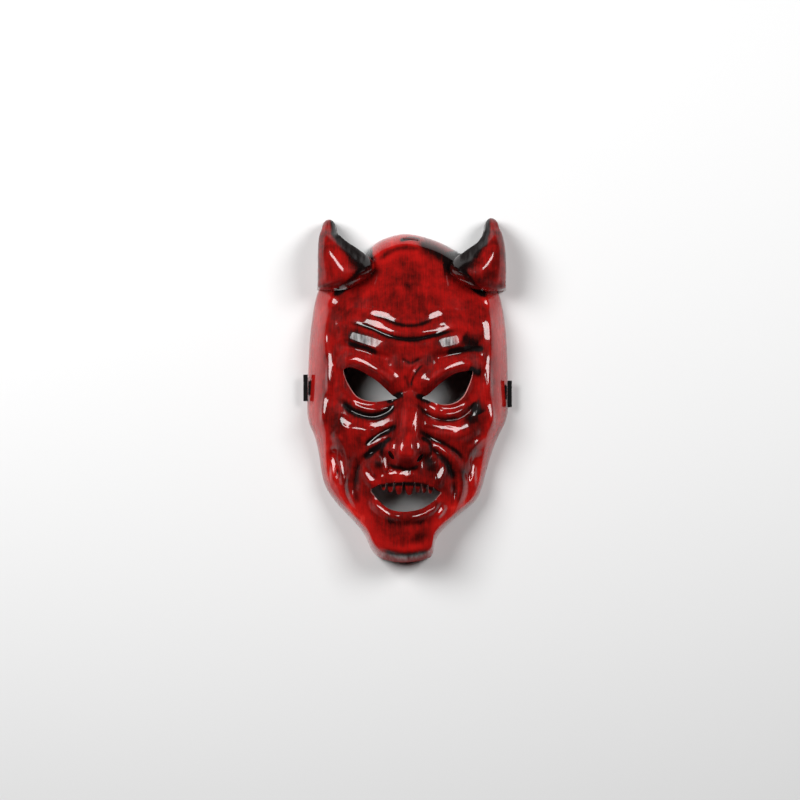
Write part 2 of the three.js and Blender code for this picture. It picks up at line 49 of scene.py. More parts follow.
# Camera: straight above the mask, at portrait distance; its far clip is in metres
camera = {"place": (-6.63, -7.76, 2000.0), "lens": 105.2, "sensor": 36.0, "farClip": 20.0}


def addCamera():
    data = bpy.data.cameras.new("camera")
    data.lens = camera["lens"]
    data.sensor_width = camera["sensor"]
    data.clip_end = camera["farClip"]
    data.dof.use_dof = False
    eye = addObject("camera", data)
    eye.location = Vector(camera["place"]) * perMetre
    bpy.context.scene.camera = eye


addCamera()

# Carved lines: steps of a span, reaches at which a line ends, reach under which a furrow is pinched, rounding
# of its bottom, and the part of the least reach that is added to it
carving = {"steps": 5, "ends": 3.2, "narrow": 5.0, "bottom": 0.9, "leastPart": 3}


def smooth(t):
    # From 0 to 1 with level ends, and flat beyond them
    t = np.clip(t, 0, 1)
    return t * t * (3 - 2 * t)


def unit(vectors):
    return vectors / np.linalg.norm(vectors, axis=-1, keepdims=True)


def raised(plan, high):
    # Points in plan with their heights
    return np.concatenate([plan, np.broadcast_to(high, plan.shape[:-1])[..., None]], -1)


def lengthsAlong(points):
    # Distance along a line to each of its points
    return np.concatenate([[0], np.cumsum(np.linalg.norm(np.diff(points, axis=0), axis=1))])


def splineRun(points, steps, closed=False):
    # Catmull-Rom: each span is a cubic through its two ends, with slopes set by the points on either side
    p = np.array(points, float)
    if closed:
        a, b, c, d = np.roll(p, 1, 0), p, np.roll(p, -1, 0), np.roll(p, -2, 0)
    else:
        q = np.vstack([2 * p[0] - p[1], p, 2 * p[-1] - p[-2]])
        a, b, c, d = q[:-3], q[1:-2], q[2:-1], q[3:]
    t = np.linspace(0, 1, steps, endpoint=False)[None, :, None]
    a, b, c, d = (v[:, None, :] for v in (a, b, c, d))
    cubic = 2 * b + (c - a) * t + (2 * a - 5 * b + 4 * c - d) * t**2 + (3 * b - a - 3 * c + d) * t**3
    run = (cubic / 2).reshape(-1, p.shape[1])
    return run if closed else np.vstack([run, p[-1]])


def tableCurve(table, y, column):
    # Hermite curve through the rows of a table, read off at y; a row's slope joins the rows on either side
    rows = np.array(table, float)
    ys, vs = rows[:, 0], rows[:, column]
    k = np.arange(len(ys))
    before, after = np.maximum(k - 1, 0), np.minimum(k + 1, len(ys) - 1)
    slopes = (vs[after] - vs[before]) / (ys[after] - ys[before])
    i = np.clip(np.searchsorted(ys, y, side="right") - 1, 0, len(ys) - 2)
    span = ys[i + 1] - ys[i]
    t = np.clip((y - ys[i]) / span, 0, 1)
    rise = smooth(t)
    bend = slopes[i] * t * (1 - t) ** 2 - slopes[i + 1] * t * t * (1 - t)
    return vs[i] * (1 - rise) + vs[i + 1] * rise + span * bend


def nearLine(x, y, points, reach):
    # For every (x, y) within reach: distance to the line squared, side of it and share along it
    run = splineRun(points, carving["steps"])
    lo, hi = run.min(0) - reach, run.max(0) + reach
    near = (x > lo[0]) & (x < hi[0]) & (y > lo[1]) & (y < hi[1])
    px, py = x[near], y[near]
    step = run[1:] - run[:-1]
    long = np.hypot(step[:, 0], step[:, 1])
    start = np.concatenate([[0], np.cumsum(long)])
    best = np.full(px.shape, np.inf)
    side = np.zeros(px.shape)
    along = np.zeros(px.shape)
    for k in range(len(step)):
        dx, dy = px - run[k, 0], py - run[k, 1]
        t = np.clip((dx * step[k, 0] + dy * step[k, 1]) / long[k] ** 2, 0, 1)
        apart = (dx - t * step[k, 0]) ** 2 + (dy - t * step[k, 1]) ** 2
        closer = apart < best
        best = np.where(closer, apart, best)
        side = np.where(closer, step[k, 0] * dy - step[k, 1] * dx, side)
        along = np.where(closer, (start[k] + t * long[k]) / start[-1], along)
    return near, best, side, along


def lineHeight(x, y, points, rise, left, right=None, ends=0.3, endRise=None, blunt=1, spread=1, least=0):
    # Ridge: e to the minus (d squared over reach squared) to the power blunt, for the distance d to the line.
    # Narrow furrow: pinched, e to the minus d over reach, let out to nothing at its edge. Its ends fade.
    endRise = rise if endRise is None else endRise
    left, right = max(left, least), max(left if right is None else right, least)
    near, best, side, along = nearLine(x, y, points, carving["ends"] * max(left, right))
    reach = np.where(side > 0, left, right) * (1 + (spread - 1) * along)
    fade = smooth(np.minimum(along, 1 - along) / ends)
    if rise < 0 and max(left, right) < carving["narrow"]:
        bottom = carving["bottom"] + least / carving["leastPart"]
        away = np.sqrt(best + bottom**2) - bottom
        profile = np.exp(-away / reach) * np.clip(1 - best / (carving["ends"] * reach) ** 2, 0, 1) ** 2
    else:
        profile = np.exp(-((best / reach**2) ** blunt))
    out = np.zeros_like(x)
    out[near] = (rise + (endRise - rise) * along) * profile * fade
    return out


def turnedShares(x, y, at, half, turn):
    # Offsets from a middle, turned by an angle, as shares of the half sizes
    a = np.radians(turn)
    dx, dy = x - at[0], y - at[1]
    return (dx * np.cos(a) + dy * np.sin(a)) / half[0], (-dx * np.sin(a) + dy * np.cos(a)) / half[1]


def roundHeight(x, y, at, half, rise, turn=0):
    # Bell-shaped boss: e to the minus u squared minus v squared in turned and scaled axes
    u, v = turnedShares(x, y, at, half, turn)
    return rise * np.exp(-(u * u + v * v))


def meshPiece(name, points, faces, material):
    mesh = bpy.data.meshes.new(name)
    mesh.from_pydata((np.asarray(points) * perMetre).tolist(), [], faces)
    mesh.update()
    mesh.materials.append(material)
    return addObject(name, mesh)


def gridSolid(name, top, bottom, material):
    # Closed body between two grids of the same size: their quads, and a wall round their edges
    rows, columns = top.shape[:2]
    index = np.arange(rows * columns).reshape(rows, columns)
    quads = np.stack([index[:-1, :-1], index[:-1, 1:], index[1:, 1:], index[1:, :-1]], -1).reshape(-1, 4)
    rim = np.concatenate([index[0, :-1], index[:-1, -1], index[-1, :0:-1], index[:0:-1, 0]])
    nextRim = np.roll(rim, -1)
    shift = rows * columns
    wall = np.stack([rim, rim + shift, nextRim + shift, nextRim], -1)
    faces = np.vstack([quads, quads[:, ::-1] + shift, wall])
    points = np.vstack([top.reshape(-1, 3), bottom.reshape(-1, 3)])
    return meshPiece(name, points + boxShift, faces.tolist(), material)


def tubeSolid(name, rings, material):
    # Closed body through rings of points: quads between them and a cap at each end
    count, around = rings.shape[:2]
    k = np.arange(count * around).reshape(count, around)
    ahead = np.roll(k, -1, 1)
    quads = np.stack([k[:-1], ahead[:-1], ahead[1:], k[1:]], -1).reshape(-1, 4)
    faces = quads.tolist() + [k[0, ::-1].tolist(), k[-1].tolist()]
    return meshPiece(name, rings.reshape(-1, 3) + boxShift, faces, material)


def carve(target, tool, how):
    # Boolean of two closed bodies; the tool is used up, and its faces bring their material
    step = target.modifiers.new("carve", "BOOLEAN")
    step.operation = how
    step.solver = "MANIFOLD"
    step.material_mode = "TRANSFER"
    step.object = tool
    carved = bpy.data.meshes.new_from_object(target.evaluated_get(bpy.context.evaluated_depsgraph_get()))
    target.modifiers.clear()
    old = target.data
    target.data = carved
    bpy.data.meshes.remove(old)
    spent = tool.data
    bpy.data.objects.remove(tool)
    bpy.data.meshes.remove(spent)


# Materials
def linear(code):
    # sRGB hex to linear: the usual curve, 0.04045 and below in proportion
    parts = np.array([int(code[i:i + 2], 16) / 255 for i in (0, 2, 4)])
    low, high = parts / 12.92, ((parts + 0.055) / 1.055) ** 2.4
    return (*np.where(parts <= 0.04045, low, high), 1.0)


def startMaterial(name):
    material = bpy.data.materials.new(name)
    material.use_nodes = True
    return material, material.node_tree, material.node_tree.nodes["Principled BSDF"]


def setSockets(tree, node, values=None, links=None):
    # The values of a node's sockets and the links into them
    for name, value in (values or {}).items():
        node.inputs[name].default_value = value
    for name, source in (links or {}).items():
        tree.links.new(source, node.inputs[name])


def addNode(tree, kind, settings=None, values=None, links=None, output=0):
    # One node with its settings, its sockets' values and the links into them; gives back one of its outputs
    node = tree.nodes.new("ShaderNode" + kind)
    for name, value in (settings or {}).items():
        setattr(node, name, value)
    setSockets(tree, node, values, links)
    return node.outputs[output]


def rampStops(output, stops):
    ramp = output.node.color_ramp
    while len(ramp.elements) < len(stops):
        ramp.elements.new(0.5)
    for element, (place, code) in zip(ramp.elements, stops):
        element.position = place
        element.color = linear(code)


noiseRange = {"From Min": 0.35, "From Max": 0.65}   # a noise texture seldom leaves this range
sheetPaint = {
    # sizes of the brush streaks, which are drawn coarse enough to show, of the blotches and of the clouds
    "streakWide": 1.0, "streakLong": 15.0, "broadStreak": 2.4, "blotch": 9.0, "cloud": 30.0,
    # painted light: the paler stops are reached down the side wall, which is painted lighter
    "stops": [(0.0, "d43028"), (0.25, "a81512"), (0.5, "8a100e"), (0.69, "5c0c0a"), (0.85, "280706"),
              (1.0, "0e0707")],
    "streakShare": 0.36, "blotchShare": 0.56, "cloudShare": 0.4, "washShadeAndLightShare": 0.62, "base": -0.05,
    "bump": 0.06, "bumpDepth": 0.4, "roughness": (0.12, 0.3), "dullRough": 0.35, "coat": 0.7,
    "streakInCoat": 3.2, "shader": {"IOR": 1.5, "Specular IOR Level": 0.05, "Coat Roughness": 0.05},
}


def paintedSheet():
    # Hard PVC sheet, sprayed red, brushed with thinned black and cleared: a deep red seen through vertical
    # brush streaks, near black in the furrows, under a wet-looking gloss that the brush left thin in places.
    # The wash also holds painted shade under the nose and over the teeth, a darker tone that greys the
    # reflection on the forehead plates, and painted light down the side wall
    look = sheetPaint
    material, tree, shader = startMaterial("painted pvc sheet")
    place = addNode(tree, "TexCoord", output="Object")
    across, down = 1 / (look["streakWide"] * perMetre), 1 / (look["streakLong"] * perMetre)
    noises = []
    for wide, values in ((across, {"Detail": 3.0, "Roughness": 0.55}),
                         (across / look["broadStreak"], {"Detail": 1.0})):
        brush = addNode(tree, "Mapping", values={"Scale": (wide, down, down)}, links={"Vector": place})
        noises.append(addNode(tree, "TexNoise", values={"Scale": 1.0, **values}, links={"Vector": brush}))
    for size, detail, rough in ((look["blotch"], 4.0, 0.6), (look["cloud"], 2.0, 0.5)):
        values = {"Scale": 1 / (size * perMetre), "Detail": detail, "Roughness": rough}
        noises.append(addNode(tree, "TexNoise", values=values, links={"Vector": place}))
    streak, broad, blotch, cloud = noises
    # the wash attribute also holds painted shade under the nose and over the teeth, and painted light down
    # the side wall
    washShadeAndLight = addNode(tree, "Attribute", {"attribute_name": "washShadeAndLight"}, output="Fac")
    thin = addNode(tree, "Attribute", {"attribute_name": "thinCoat"}, output="Fac")
    multiplyAdd = {"operation": "MULTIPLY_ADD"}
    total = addNode(tree, "Math", multiplyAdd, {1: look["streakShare"], 2: look["base"]}, {0: streak})
    for source, share in ((blotch, "blotchShare"), (cloud, "cloudShare"), (washShadeAndLight, "washShadeAndLightShare")):
        total = addNode(tree, "Math", multiplyAdd, {1: look[share]}, {0: source, 2: total})
    ramp = addNode(tree, "ValToRGB", links={"Fac": total})
    rampStops(ramp, look["stops"])
    bump = addNode(tree, "Bump", values={"Strength": look["bump"], "Distance": look["bumpDepth"] * perMetre},
                   links={"Height": streak})
    least, most = look["roughness"]
    dull = addNode(tree, "MapRange", values={**noiseRange, "To Min": least, "To Max": most},
                   links={"Value": streak})
    rough = addNode(tree, "Math", multiplyAdd, {1: look["dullRough"]}, {0: thin, 2: dull})
    # where the coat is half gone, broad streaks decide where it is left
    left = addNode(tree, "Math", {"operation": "SUBTRACT"}, {0: 1.0}, {1: thin})
    partly = addNode(tree, "Math", {"operation": "MULTIPLY"}, links={0: thin, 1: left})
    half = look["streakInCoat"] / 2
    contrast = addNode(tree, "MapRange", values={**noiseRange, "To Min": -half, "To Max": half},
                       links={"Value": broad})
    patchy = addNode(tree, "Math", multiplyAdd, links={0: partly, 1: contrast, 2: thin})
    coat = addNode(tree, "MapRange", values={"To Min": look["coat"], "To Max": 0.0}, links={"Value": patchy})
    setSockets(tree, shader, look["shader"],
               {"Base Color": ramp, "Normal": bump, "Roughness": rough, "Coat Weight": coat})
    return material


# The back of the same sheet: uncoated PVC, dull red-brown with faint forming marks
bareInside = {"name": "bare pvc inside", "dark": "3c1012", "light": "6a2020", "grain": 9.6, "detail": 5.0,
              "shader": {"Roughness": 0.42, "IOR": 1.54}}
# The die-cut edge of the sheet: paler than the paint, with fine shear marks
cutEdge = {"name": "cut edge of the sheet", "dark": "a8504c", "light": "d9a09c", "grain": 0.8, "detail": 3.0,
           "shader": {"Roughness": 0.3}}


def plainSheet(look):
    # Noise of the marks' size, running from the dark to the light tone
    material, tree, shader = startMaterial(look["name"])
    place = addNode(tree, "TexCoord", output="Object")
    values = {"Scale": 1 / (look["grain"] * perMetre), "Detail": look["detail"]}
    grain = addNode(tree, "TexNoise", values=values, links={"Vector": place})
    ramp = addNode(tree, "ValToRGB", links={"Fac": grain})
    rampStops(ramp, [(0.3, look["dark"]), (0.7, look["light"])])
    setSockets(tree, shader, look["shader"], {"Base Color": ramp})
    return material


# Spacings of the knit's rows and columns; a wave texture of scale 1 has a band every 0.314, two to a spacing
knit = {"dark": "030304", "light": "0c0c0d", "course": 1.1, "wale": 0.9, "wave": 0.314 * 2, "bump": 0.5,
        "bumpDepth": 0.4, "shader": {"Roughness": 0.95, "Sheen Weight": 0.03, "Specular IOR Level": 0.2}}


def knittedElastic():
    # Black knitted elastic: fine V-shaped stitches in rows, matt with a faint sheen
    material, tree, shader = startMaterial("black knitted elastic")
    weave = addNode(tree, "UVMap", {"uv_map": "weave"})
    rows = addNode(tree, "TexWave", {"wave_type": "BANDS", "bands_direction": "X"},
                   {"Scale": knit["wave"] / knit["course"], "Distortion": 1.5, "Detail": 1.0,
                    "Detail Scale": 2.0}, {"Vector": weave}, "Fac")
    wales = addNode(tree, "TexWave", {"wave_type": "BANDS", "bands_direction": "Y"},
                    {"Scale": knit["wave"] / knit["wale"], "Distortion": 0.4}, {"Vector": weave}, "Fac")
    both = addNode(tree, "Math", {"operation": "MULTIPLY"}, links={0: rows, 1: wales})
    ramp = addNode(tree, "ValToRGB", links={"Fac": both})
    rampStops(ramp, [(0.0, knit["dark"]), (0.7, knit["light"])])
    bump = addNode(tree, "Bump", values={"Strength": knit["bump"], "Distance": knit["bumpDepth"] * perMetre},
                   links={"Height": both})
    setSockets(tree, shader, knit["shader"], {"Base Color": ramp, "Normal": bump})
    return material


paint = paintedSheet()
bare = plainSheet(bareInside)
cut = plainSheet(cutEdge)
knitted = knittedElastic()
print("materials ready")


# The face: sheet and rim, side wall, crown, rows of its grid, how far the solids reach under the rim plane
face = {
    "sheet": 1.0, "centre": np.array([0.0, -5.0]), "half": (86.0, 140.0), "wallShare": 0.2, "wallPower": 1.6,
    "crownPower": 1.7, "crownEnd": 1.35, "rowBias": 0.25, "rowMiddle": -0.18, "below": 6.0,
    "hollowBelow": 7.0, "outerCells": (206, 314), "innerCells": (100, 150), "innerLeast": 2.7,
    "tangentStep": 0.004, "rimSteps": 8, "sharpAngle": 62,
}
rimPoints = [
    (85.6, 7), (85.2, 30), (83.8, 52), (81, 72), (77, 86), (68, 99), (57, 110), (45, 118.4),
    (24.5, 129.2), (0, 135.3), (-19, 131.6), (-30, 125), (-38, 116), (-52, 109), (-67, 99), (-77, 85),
    (-81.6, 63.5), (-84, 41), (-85.3, 15), (-86, -12), (-84.5, -26), (-79.6, -38), (-76, -53), (-73, -72),
    (-68.4, -84.3), (-59, -97), (-46, -110.6), (-37, -122), (-30.5, -135.5), (-22, -142.6), (-4, -145.5),
    (14, -143), (21, -138.5), (24, -126), (32, -115.5), (46, -103), (57, -93.8), (63, -83), (69, -61),
    (76, -41), (83.5, -25.5), (86, -12),
]
# rows up the face: y, height at the middle, half width, how much lower the sides are there
sections = [
    (-146, 47, 22, 8), (-128, 55, 28, 12), (-108, 59, 44, 27), (-82, 60.6, 60, 35), (-52, 60.6, 66, 31),
    (-25, 58.6, 70, 22), (0, 58, 68, 20), (25, 61, 67, 21), (45, 62, 67, 22), (62, 57.2, 67, 22),
    (75, 50.5, 66, 21), (100, 38, 62, 16), (122, 27.5, 46, 8), (136, 22, 30, 3),
]
# plan width of the side wall against y
wallWidths = [
    (-146, 9.5), (-128, 9), (-110, 6), (-92, 5.5), (-72, 7), (-50, 9), (-30, 13), (-12, 15),
    (10, 18), (60, 17), (95, 14), (122, 11), (136, 11),
]
# ridges and furrows: points of the line, height, reach to its left and any other to its right, then any share
# over which the ends fade, height at the end, bluntness and how the reach grows along it
lines = {
    "collarL": ([(-24, 119), (-31, 106), (-39, 93), (-52, 83), (-66, 72)], -2.5, 6),
    "collarR": ([(36, 116), (42, 102), (50, 90), (62, 81), (72, 72)], -2.5, 6),
    "brow furrow 1": ([(-34, 64.5), (-21, 61.5), (-9, 57), (2, 55.5), (13, 57.5), (24, 62.5)], -1.2, 2.6),
    "brow furrow 2": ([(-50, 58.5), (-33, 54), (-16, 46.5), (2, 43.5), (20, 46.5), (44, 53)], -2.4, 3.0),
    "brow furrow 3L": ([(-56, 42), (-42, 38), (-27, 32.5), (-12, 26.5)], -2.8, 2.8, 6, 0.12),
    "brow furrow 3R": ([(64, 37), (48, 35.5), (34, 32.8), (20, 28.5)], -2.8, 6, 2.8, 0.12),
    "frown": ([(-8, 29), (-3, 26), (3, 24), (9, 26.5), (15, 30)], -1.2, 2.4),
    "browL": ([(-62, 20), (-50, 25.5), (-37, 24), (-25, 15.6), (-14, 7), (-4.5, 2)],
              7.5, 8, 8, 0.22, 8, 1.0, 0.8),
    "browR": ([(64, 17), (53, 22), (41, 21.5), (29, 15.1), (18, 7), (7.5, 2)],
              7.5, 8, 8, 0.22, 8, 1.0, 0.8),
    "furrow between the brows": ([(9, 25), (3.5, 17), (1.9, 9), (1.6, 1)], -1.6, 1.3),
    "crease over the nose": ([(-9, -3), (-3, 0), (1.6, 1.6), (6.5, 0), (12, -3.5)], -1.4, 2),
    "lidL": ([(-51.5, 19), (-50, 9), (-45, 1), (-38, -3.5), (-28, -5.5), (-19, -4.5)], 6.0, 4.4),
    "lidR": ([(16, -4), (24, -6.5), (33, -7.5), (41, -5), (46.5, 0), (50, 8), (51.5, 18)], 6.0, 4.4),
    "bag grooveL": ([(-57, -5), (-49, -14), (-39, -19), (-28, -20.5), (-17, -16.5), (-10, -10), (-7, -5)],
                    -3.6, 3),
    "bagL": ([(-52, -4), (-44, -11), (-34, -14.5), (-24, -14), (-15, -10)], 2.4, 3.5),
    "bag creaseL": ([(-30, -13.6), (-20, -11), (-12, -7.5), (-8, -5.5)], -1.2, 1.3),
    "bag grooveR": ([(8, -9), (14, -17), (23, -21.8), (33, -23.5), (44, -21.5), (53, -14), (59, -2)],
                    -3.2, 3),
    "bagR": ([(16, -12), (26, -17), (36, -18.5), (46, -15), (53, -6)], 2.4, 3.5),
    "bag creaseR": ([(12, -8), (18, -13), (26, -16.3), (34, -16.2)], -1.2, 1.3),
    "cheekL": ([(-64, -20), (-53, -29), (-38, -32), (-24, -30)], 4.5, 6, 11),
    "cheekR": ([(20, -31), (34, -35), (50, -34), (64, -26)], 4.5, 11, 6),
    "templeL": ([(-64, 34), (-65, 18), (-66, 2), (-70, -10), (-71, -20), (-66, -30)], 2.5, 3),
    "templeR": ([(68, 30), (67, 14), (66, 0), (69, -14), (71, -26), (67, -36)], 2.5, 3),
    "hollowL": ([(-62, -44), (-59, -60), (-58, -76)], -5.0, 9, 8),
    "hollowR": ([(62, -48), (57, -62), (55, -78)], -4.5, 8, 9),
    "strapL": ([(-64, -34), (-57, -40), (-53, -50), (-51, -62)], 3.0, 3, 4),
    "strapR": ([(68, -38), (58, -43), (52, -52), (50, -64)], 3.0, 4, 3),
    "sinewL1": ([(-62, -50), (-62.5, -63), (-62, -77)], 1.2, 1.6),
    "sinewL2": ([(-56.5, -51), (-56.5, -62), (-58.5, -74)], 1.2, 1.6),
    "sinewL3": ([(-51, -62), (-54, -72), (-55, -80)], 1.2, 1.6),
    "sinewR1": ([(54, -60), (54.5, -68), (53, -78)], 1.0, 1.8),
    "fold1L": ([(-7, -26), (-16, -31), (-27, -37), (-38, -47)], -2.6, 2.6),
    "fold2L": ([(-18, -42), (-28, -48.5), (-38, -57), (-44, -68), (-46, -82), (-41, -97)], -3.2, 4.4),
    "rollL": ([(-24, -41), (-36, -50), (-46, -60), (-50, -76), (-46, -92), (-38, -106)], 2.6, 4),
    "fold3L": ([(-44, -56), (-52, -70), (-52, -86), (-45, -100)], -2.0, 2.5),
    "fold1R": ([(8, -29), (18, -37), (29, -43), (41, -51), (48, -60)], -2.8, 3),
    "fold2R": ([(14, -44), (24, -50), (33, -60), (38, -71), (39, -84), (35, -96)], -3.2, 4.4),
    "rollR": ([(20, -42), (34, -52), (43, -64), (45.5, -78), (42, -94), (34, -106)], 2.8, 4),
    "fold3R": ([(46, -60), (50, -72), (50, -86), (42, -99)], -1.8, 2.6),
    "muzzleL": ([(-24, -52), (-30, -62), (-32, -73)], 4.2, 7),
    "muzzleR": ([(18, -54), (26, -62), (28, -74)], 4.2, 7),
    "bridge": ([(2, 1), (1.6, -12), (0.7, -27), (-0.8, -42), (-2, -54), (-2.4, -67)],
               8.5, 9, 8.8, 0.24, 21.5, 2.6, 1.2),
    "wing grooveL": ([(-12, -36), (-21, -41), (-23, -49)], -1.2, 2.6),
    "wing grooveR": ([(9, -36), (18, -40), (20, -48)], -1.2, 2.6),
    "under the tip": ([(-10, -60), (-6, -63.5), (-1.5, -64.5), (4, -63.5), (8, -60)], -1.2, 2.2),
    "septumL": ([(-19.5, -50), (-18.6, -60), (-17, -66.5), (-9, -69)], 1.6, 2.0),
    "upper lip": ([(-36, -81), (-28, -76), (-17, -72.2), (-8, -70.6), (0, -71.2), (10, -72.5), (20, -76),
                   (31, -82)], 0.4, 4.5, 3.0, 0.15),
    "lower lip": ([(-33, -87), (-25, -96), (-14, -102.3), (-2, -104), (10, -102.5), (21, -97), (29, -88)],
                  3.8, 3.4, 3.6, 0.15),
    "crease over the lip": ([(-26, -70), (-16, -66.5), (-8, -64.5)], -1.2, 2),
    "jaw lineL": ([(-57, -87), (-49, -98), (-41, -108)], 1.6, 2.2),
    "chin edge": ([(-27, -122), (-20, -129), (-2, -132), (14, -129), (20, -122)], 2.0, 4),
}
# bosses and hollows: middle, half sizes, height, any turn in degrees
rounds = {
    "dip over the frown": ((1.5, 33), (16, 6), -1.5),
    "socketL": ((-31, 4), (19, 10.5), -9.5, -24),
    "socketR": ((30, 1), (18, 10.5), -9.5, 22),
    "inner cornerL": ((-13, -5), (7, 5), -4.5),
    "inner cornerR": ((13, -6), (6, 5), -4.5),
    "tip of the nose": ((-1.5, -42), (11, 12), 2.5),
    "wingL": ((-14.8, -46), (6, 7.5), 5.0, -15),
    "wingR": ((11.5, -46), (6, 7.5), 5.0, 15),
    "nostrilL": ((-14, -54), (4.5, 5.5), -2.5, 30),
    "nostrilR": ((10, -56), (4.5, 5.5), -2.5, -35),
    "philtrum 0": ((-0.8, -68.5), (3.4, 3.4), 1.0),
    "chin": ((-2, -120), (20, 12), 2.0),
    "set of the mouth": ((-2, -86), (30, 12), -3.0),
    "nodeR": ((26, -99), (4.5, 4), 2.0),
    "dip of the forehead": ((0, 57), (12, 12), -1.8),
    "pocketL": ((-14.4, -61), (3, 5.5), -1.4, 8),
    "pit": ((0.5, 90), (2.2, 3.5), -0.8),
}

# flattened places, which catch a softbox whole: middle, half sizes, slopes, turn in degrees, share, lift
flats = {
    "foreheadL 0": ((-23.1, 65.2), (9, 4.4), (0.262, -0.14), -10, 0.95, 0),
    "foreheadL 1": ((-29.3, 57.8), (8, 3.4), (0.264, -0.145), -17, 0.9, 0),
    "foreheadR 0": ((23.2, 64.8), (7, 4.8), (-0.29, -0.14), 25, 0.95, 0),
    "foreheadR 1": ((29, 56.6), (2.6, 1.8), (-0.29, -0.145), 22, 0.9, 0),
    "foreheadR 2": ((17, 52.5), (9, 3.4), (-0.2, -0.42), 10, 0.6, 0),
    "plateL": ((-37, 43.4), (19, 7.6), (0.267, -0.149), -18, 1.0, 2.2),
    "plateR": ((35.2, 41.8), (13.5, 8.4), (-0.275, -0.15), 10, 1.0, 2.2),
    "templeR": ((66.3, 49.7), (4.4, 15), (-0.285, -0.14), -2, 1.0, 0),
    "templeL": ((-64, 52), (5, 16), (0.6, -0.1), 0, 0.8, 0),
    "brow rollL": ((-33.5, 23.4), (15, 2.8), (0.262, -0.155), -30, 0.9, 0),
    "brow rollR": ((37.5, 22.4), (12, 2.6), (-0.275, -0.16), 24, 0.9, 0),
    "muzzleR": ((27, -68.3), (4.2, 9.4), (-0.268, -0.217), -18, 1.0, 0),
    "muzzleL": ((-32.4, -70.4), (4, 8), (0.262, -0.22), 30, 1.0, 0.3),
    "cheekL": ((-53, -24.2), (6.8, 3.0), (0.257, -0.19), -40, 1.0, 0),
    "cheek barL": ((-26.5, -27.8), (8.5, 2.0), (0.265, -0.19), 3, 1.0, 0),
    "cheek barR": ((28.5, -29.4), (13, 2.2), (-0.265, -0.19), -12, 1.0, 0),
    "flank of the noseR": ((6.6, -25.5), (2.1, 14), (-0.27, -0.17), -3, 0.9, 0.4),
    "wing topR": ((8.6, -44.5), (3.2, 6), (-0.268, -0.2), 8, 1.0, 0.5),
    "wing topL": ((-11.6, -45), (3, 4.4), (0.265, -0.2), -8, 1.0, 0.5),
    "nodeR": ((27, -99), (3, 5), (-0.268, -0.22), -35, 1.0, 0.3),
    "pocket ridgeL": ((-18.6, -60), (1.9, 6.5), (0.262, -0.22), 5, 1.0, 0.4),
    "foot of the pocketL": ((-13.8, -67.2), (4, 1.7), (0.262, -0.22), 12, 1.0, 0.3),
    "philtrum": ((-0.6, -67.8), (3.2, 3.2), (0.265, -0.217), 0, 0.95, 0.3),
    "lipL": ((-19.8, -97.6), (7, 1.8), (0.262, -0.24), -36, 0.9, 0),
    "lipR": ((8, -101.6), (4.5, 1.5), (-0.262, -0.24), 22, 0.9, 0),
    "lip middle": ((-3.5, -103.2), (7, 2.4), (0, 0.15), 0, 0.8, 0),
    "cheekbone edgeL": ((-65.4, 20), (2.6, 17), (0.262, -0.15), -2, 1.0, 0.3),
    "cheekbone edgeL low": ((-69.4, -12), (2.6, 12), (0.262, -0.16), -8, 1.0, 0.3),
    "cheekbone edgeR": ((67.4, 18), (2.6, 20), (-0.27, -0.15), 2, 1.0, 0.3),
    "cheekbone edgeR low": ((69.4, -16), (2.6, 12), (-0.27, -0.16), 8, 1.0, 0.3),
    "sinew flatL1": ((-62.8, -62), (2.6, 12), (0.262, -0.21), 0, 1.0, 0.2),
    "sinew flatL2": ((-55.4, -63), (2.4, 11), (0.262, -0.21), 4, 1.0, 0.2),
    "sinew flatR": ((55, -66), (2.4, 10), (-0.268, -0.215), 0, 1.0, 0.2),
    "under hornL": ((-61.5, 76.5), (3.4, 5), (0.262, -0.19), 12, 1.0, 0.3),
    "under hornR": ((66.5, 76), (3.4, 4.4), (-0.268, -0.19), -12, 1.0, 0.3),
}


def polar(away):
    # Angle and length of offsets in plan
    return np.arctan2(away[:, 1], away[:, 0]), np.hypot(away[:, 0], away[:, 1])


rimAngles, rimRadii = polar(splineRun(rimPoints, face["rimSteps"], True) - face["centre"])
rimOrder = np.argsort(rimAngles)
rimAngles, rimRadii = rimAngles[rimOrder], rimRadii[rimOrder]


def rimRadius(angle):
    # From the middle of the face out to the rim
    return np.interp(angle, rimAngles, rimRadii, period=2 * np.pi)


def carvedHeight(x, y, least=0.0):
    # Crowned plate: middle height less drop times (|x| over half width) to a power, plus every form
    height, halfWide, drop = (tableCurve(sections, y, column) for column in (1, 2, 3))
    across = np.minimum(np.abs(x) / halfWide, face["crownEnd"])
    z = height - drop * across ** face["crownPower"]
    for form in lines.values():
        z = z + lineHeight(x, y, *form, least=least)
    for form in rounds.values():
        z = z + roundHeight(x, y, *form)
    return z


flatMiddles = carvedHeight(*np.array([form[0] for form in flats.values()], float).T)


def faceHeight(x, y, least=0.0):
    # The carved height, drawn towards a plane in each flat, by e to the minus u to the fourth minus v to the
    # fourth
    z = carvedHeight(x, y, least)
    for (at, half, slope, turn, share, lift), middle in zip(flats.values(), flatMiddles):
        u, v = turnedShares(x, y, at, half, turn)
        plane = middle + lift + slope[0] * (x - at[0]) + slope[1] * (y - at[1])
        z = z + share * np.exp(-(u**4) - v**4) * (plane - z)
    return z


def facePoints(angle, share, least):
    # Polar plan: inside the plate the share runs straight out, in the wall x falls and z drops as the cosine
    # and sine of a superellipse
    radius = rimRadius(angle)
    width = tableCurve(wallWidths, face["centre"][1] + radius * np.sin(angle), 1)
    flat = 1 - face["wallShare"]
    s = np.clip((1 - share) / face["wallShare"], 0, 1) * np.pi / 2
    inward = width * (1 - np.cos(s) ** (2 / face["wallPower"]))
    lift = np.sin(s) ** (2 / face["wallPower"])
    reach = np.where(share < flat, share / flat * (radius - width), radius - inward)
    x = face["centre"][0] + reach * np.cos(angle)
    y = face["centre"][1] + reach * np.sin(angle)
    return np.stack([x, y, faceHeight(x, y, least) * lift], -1)


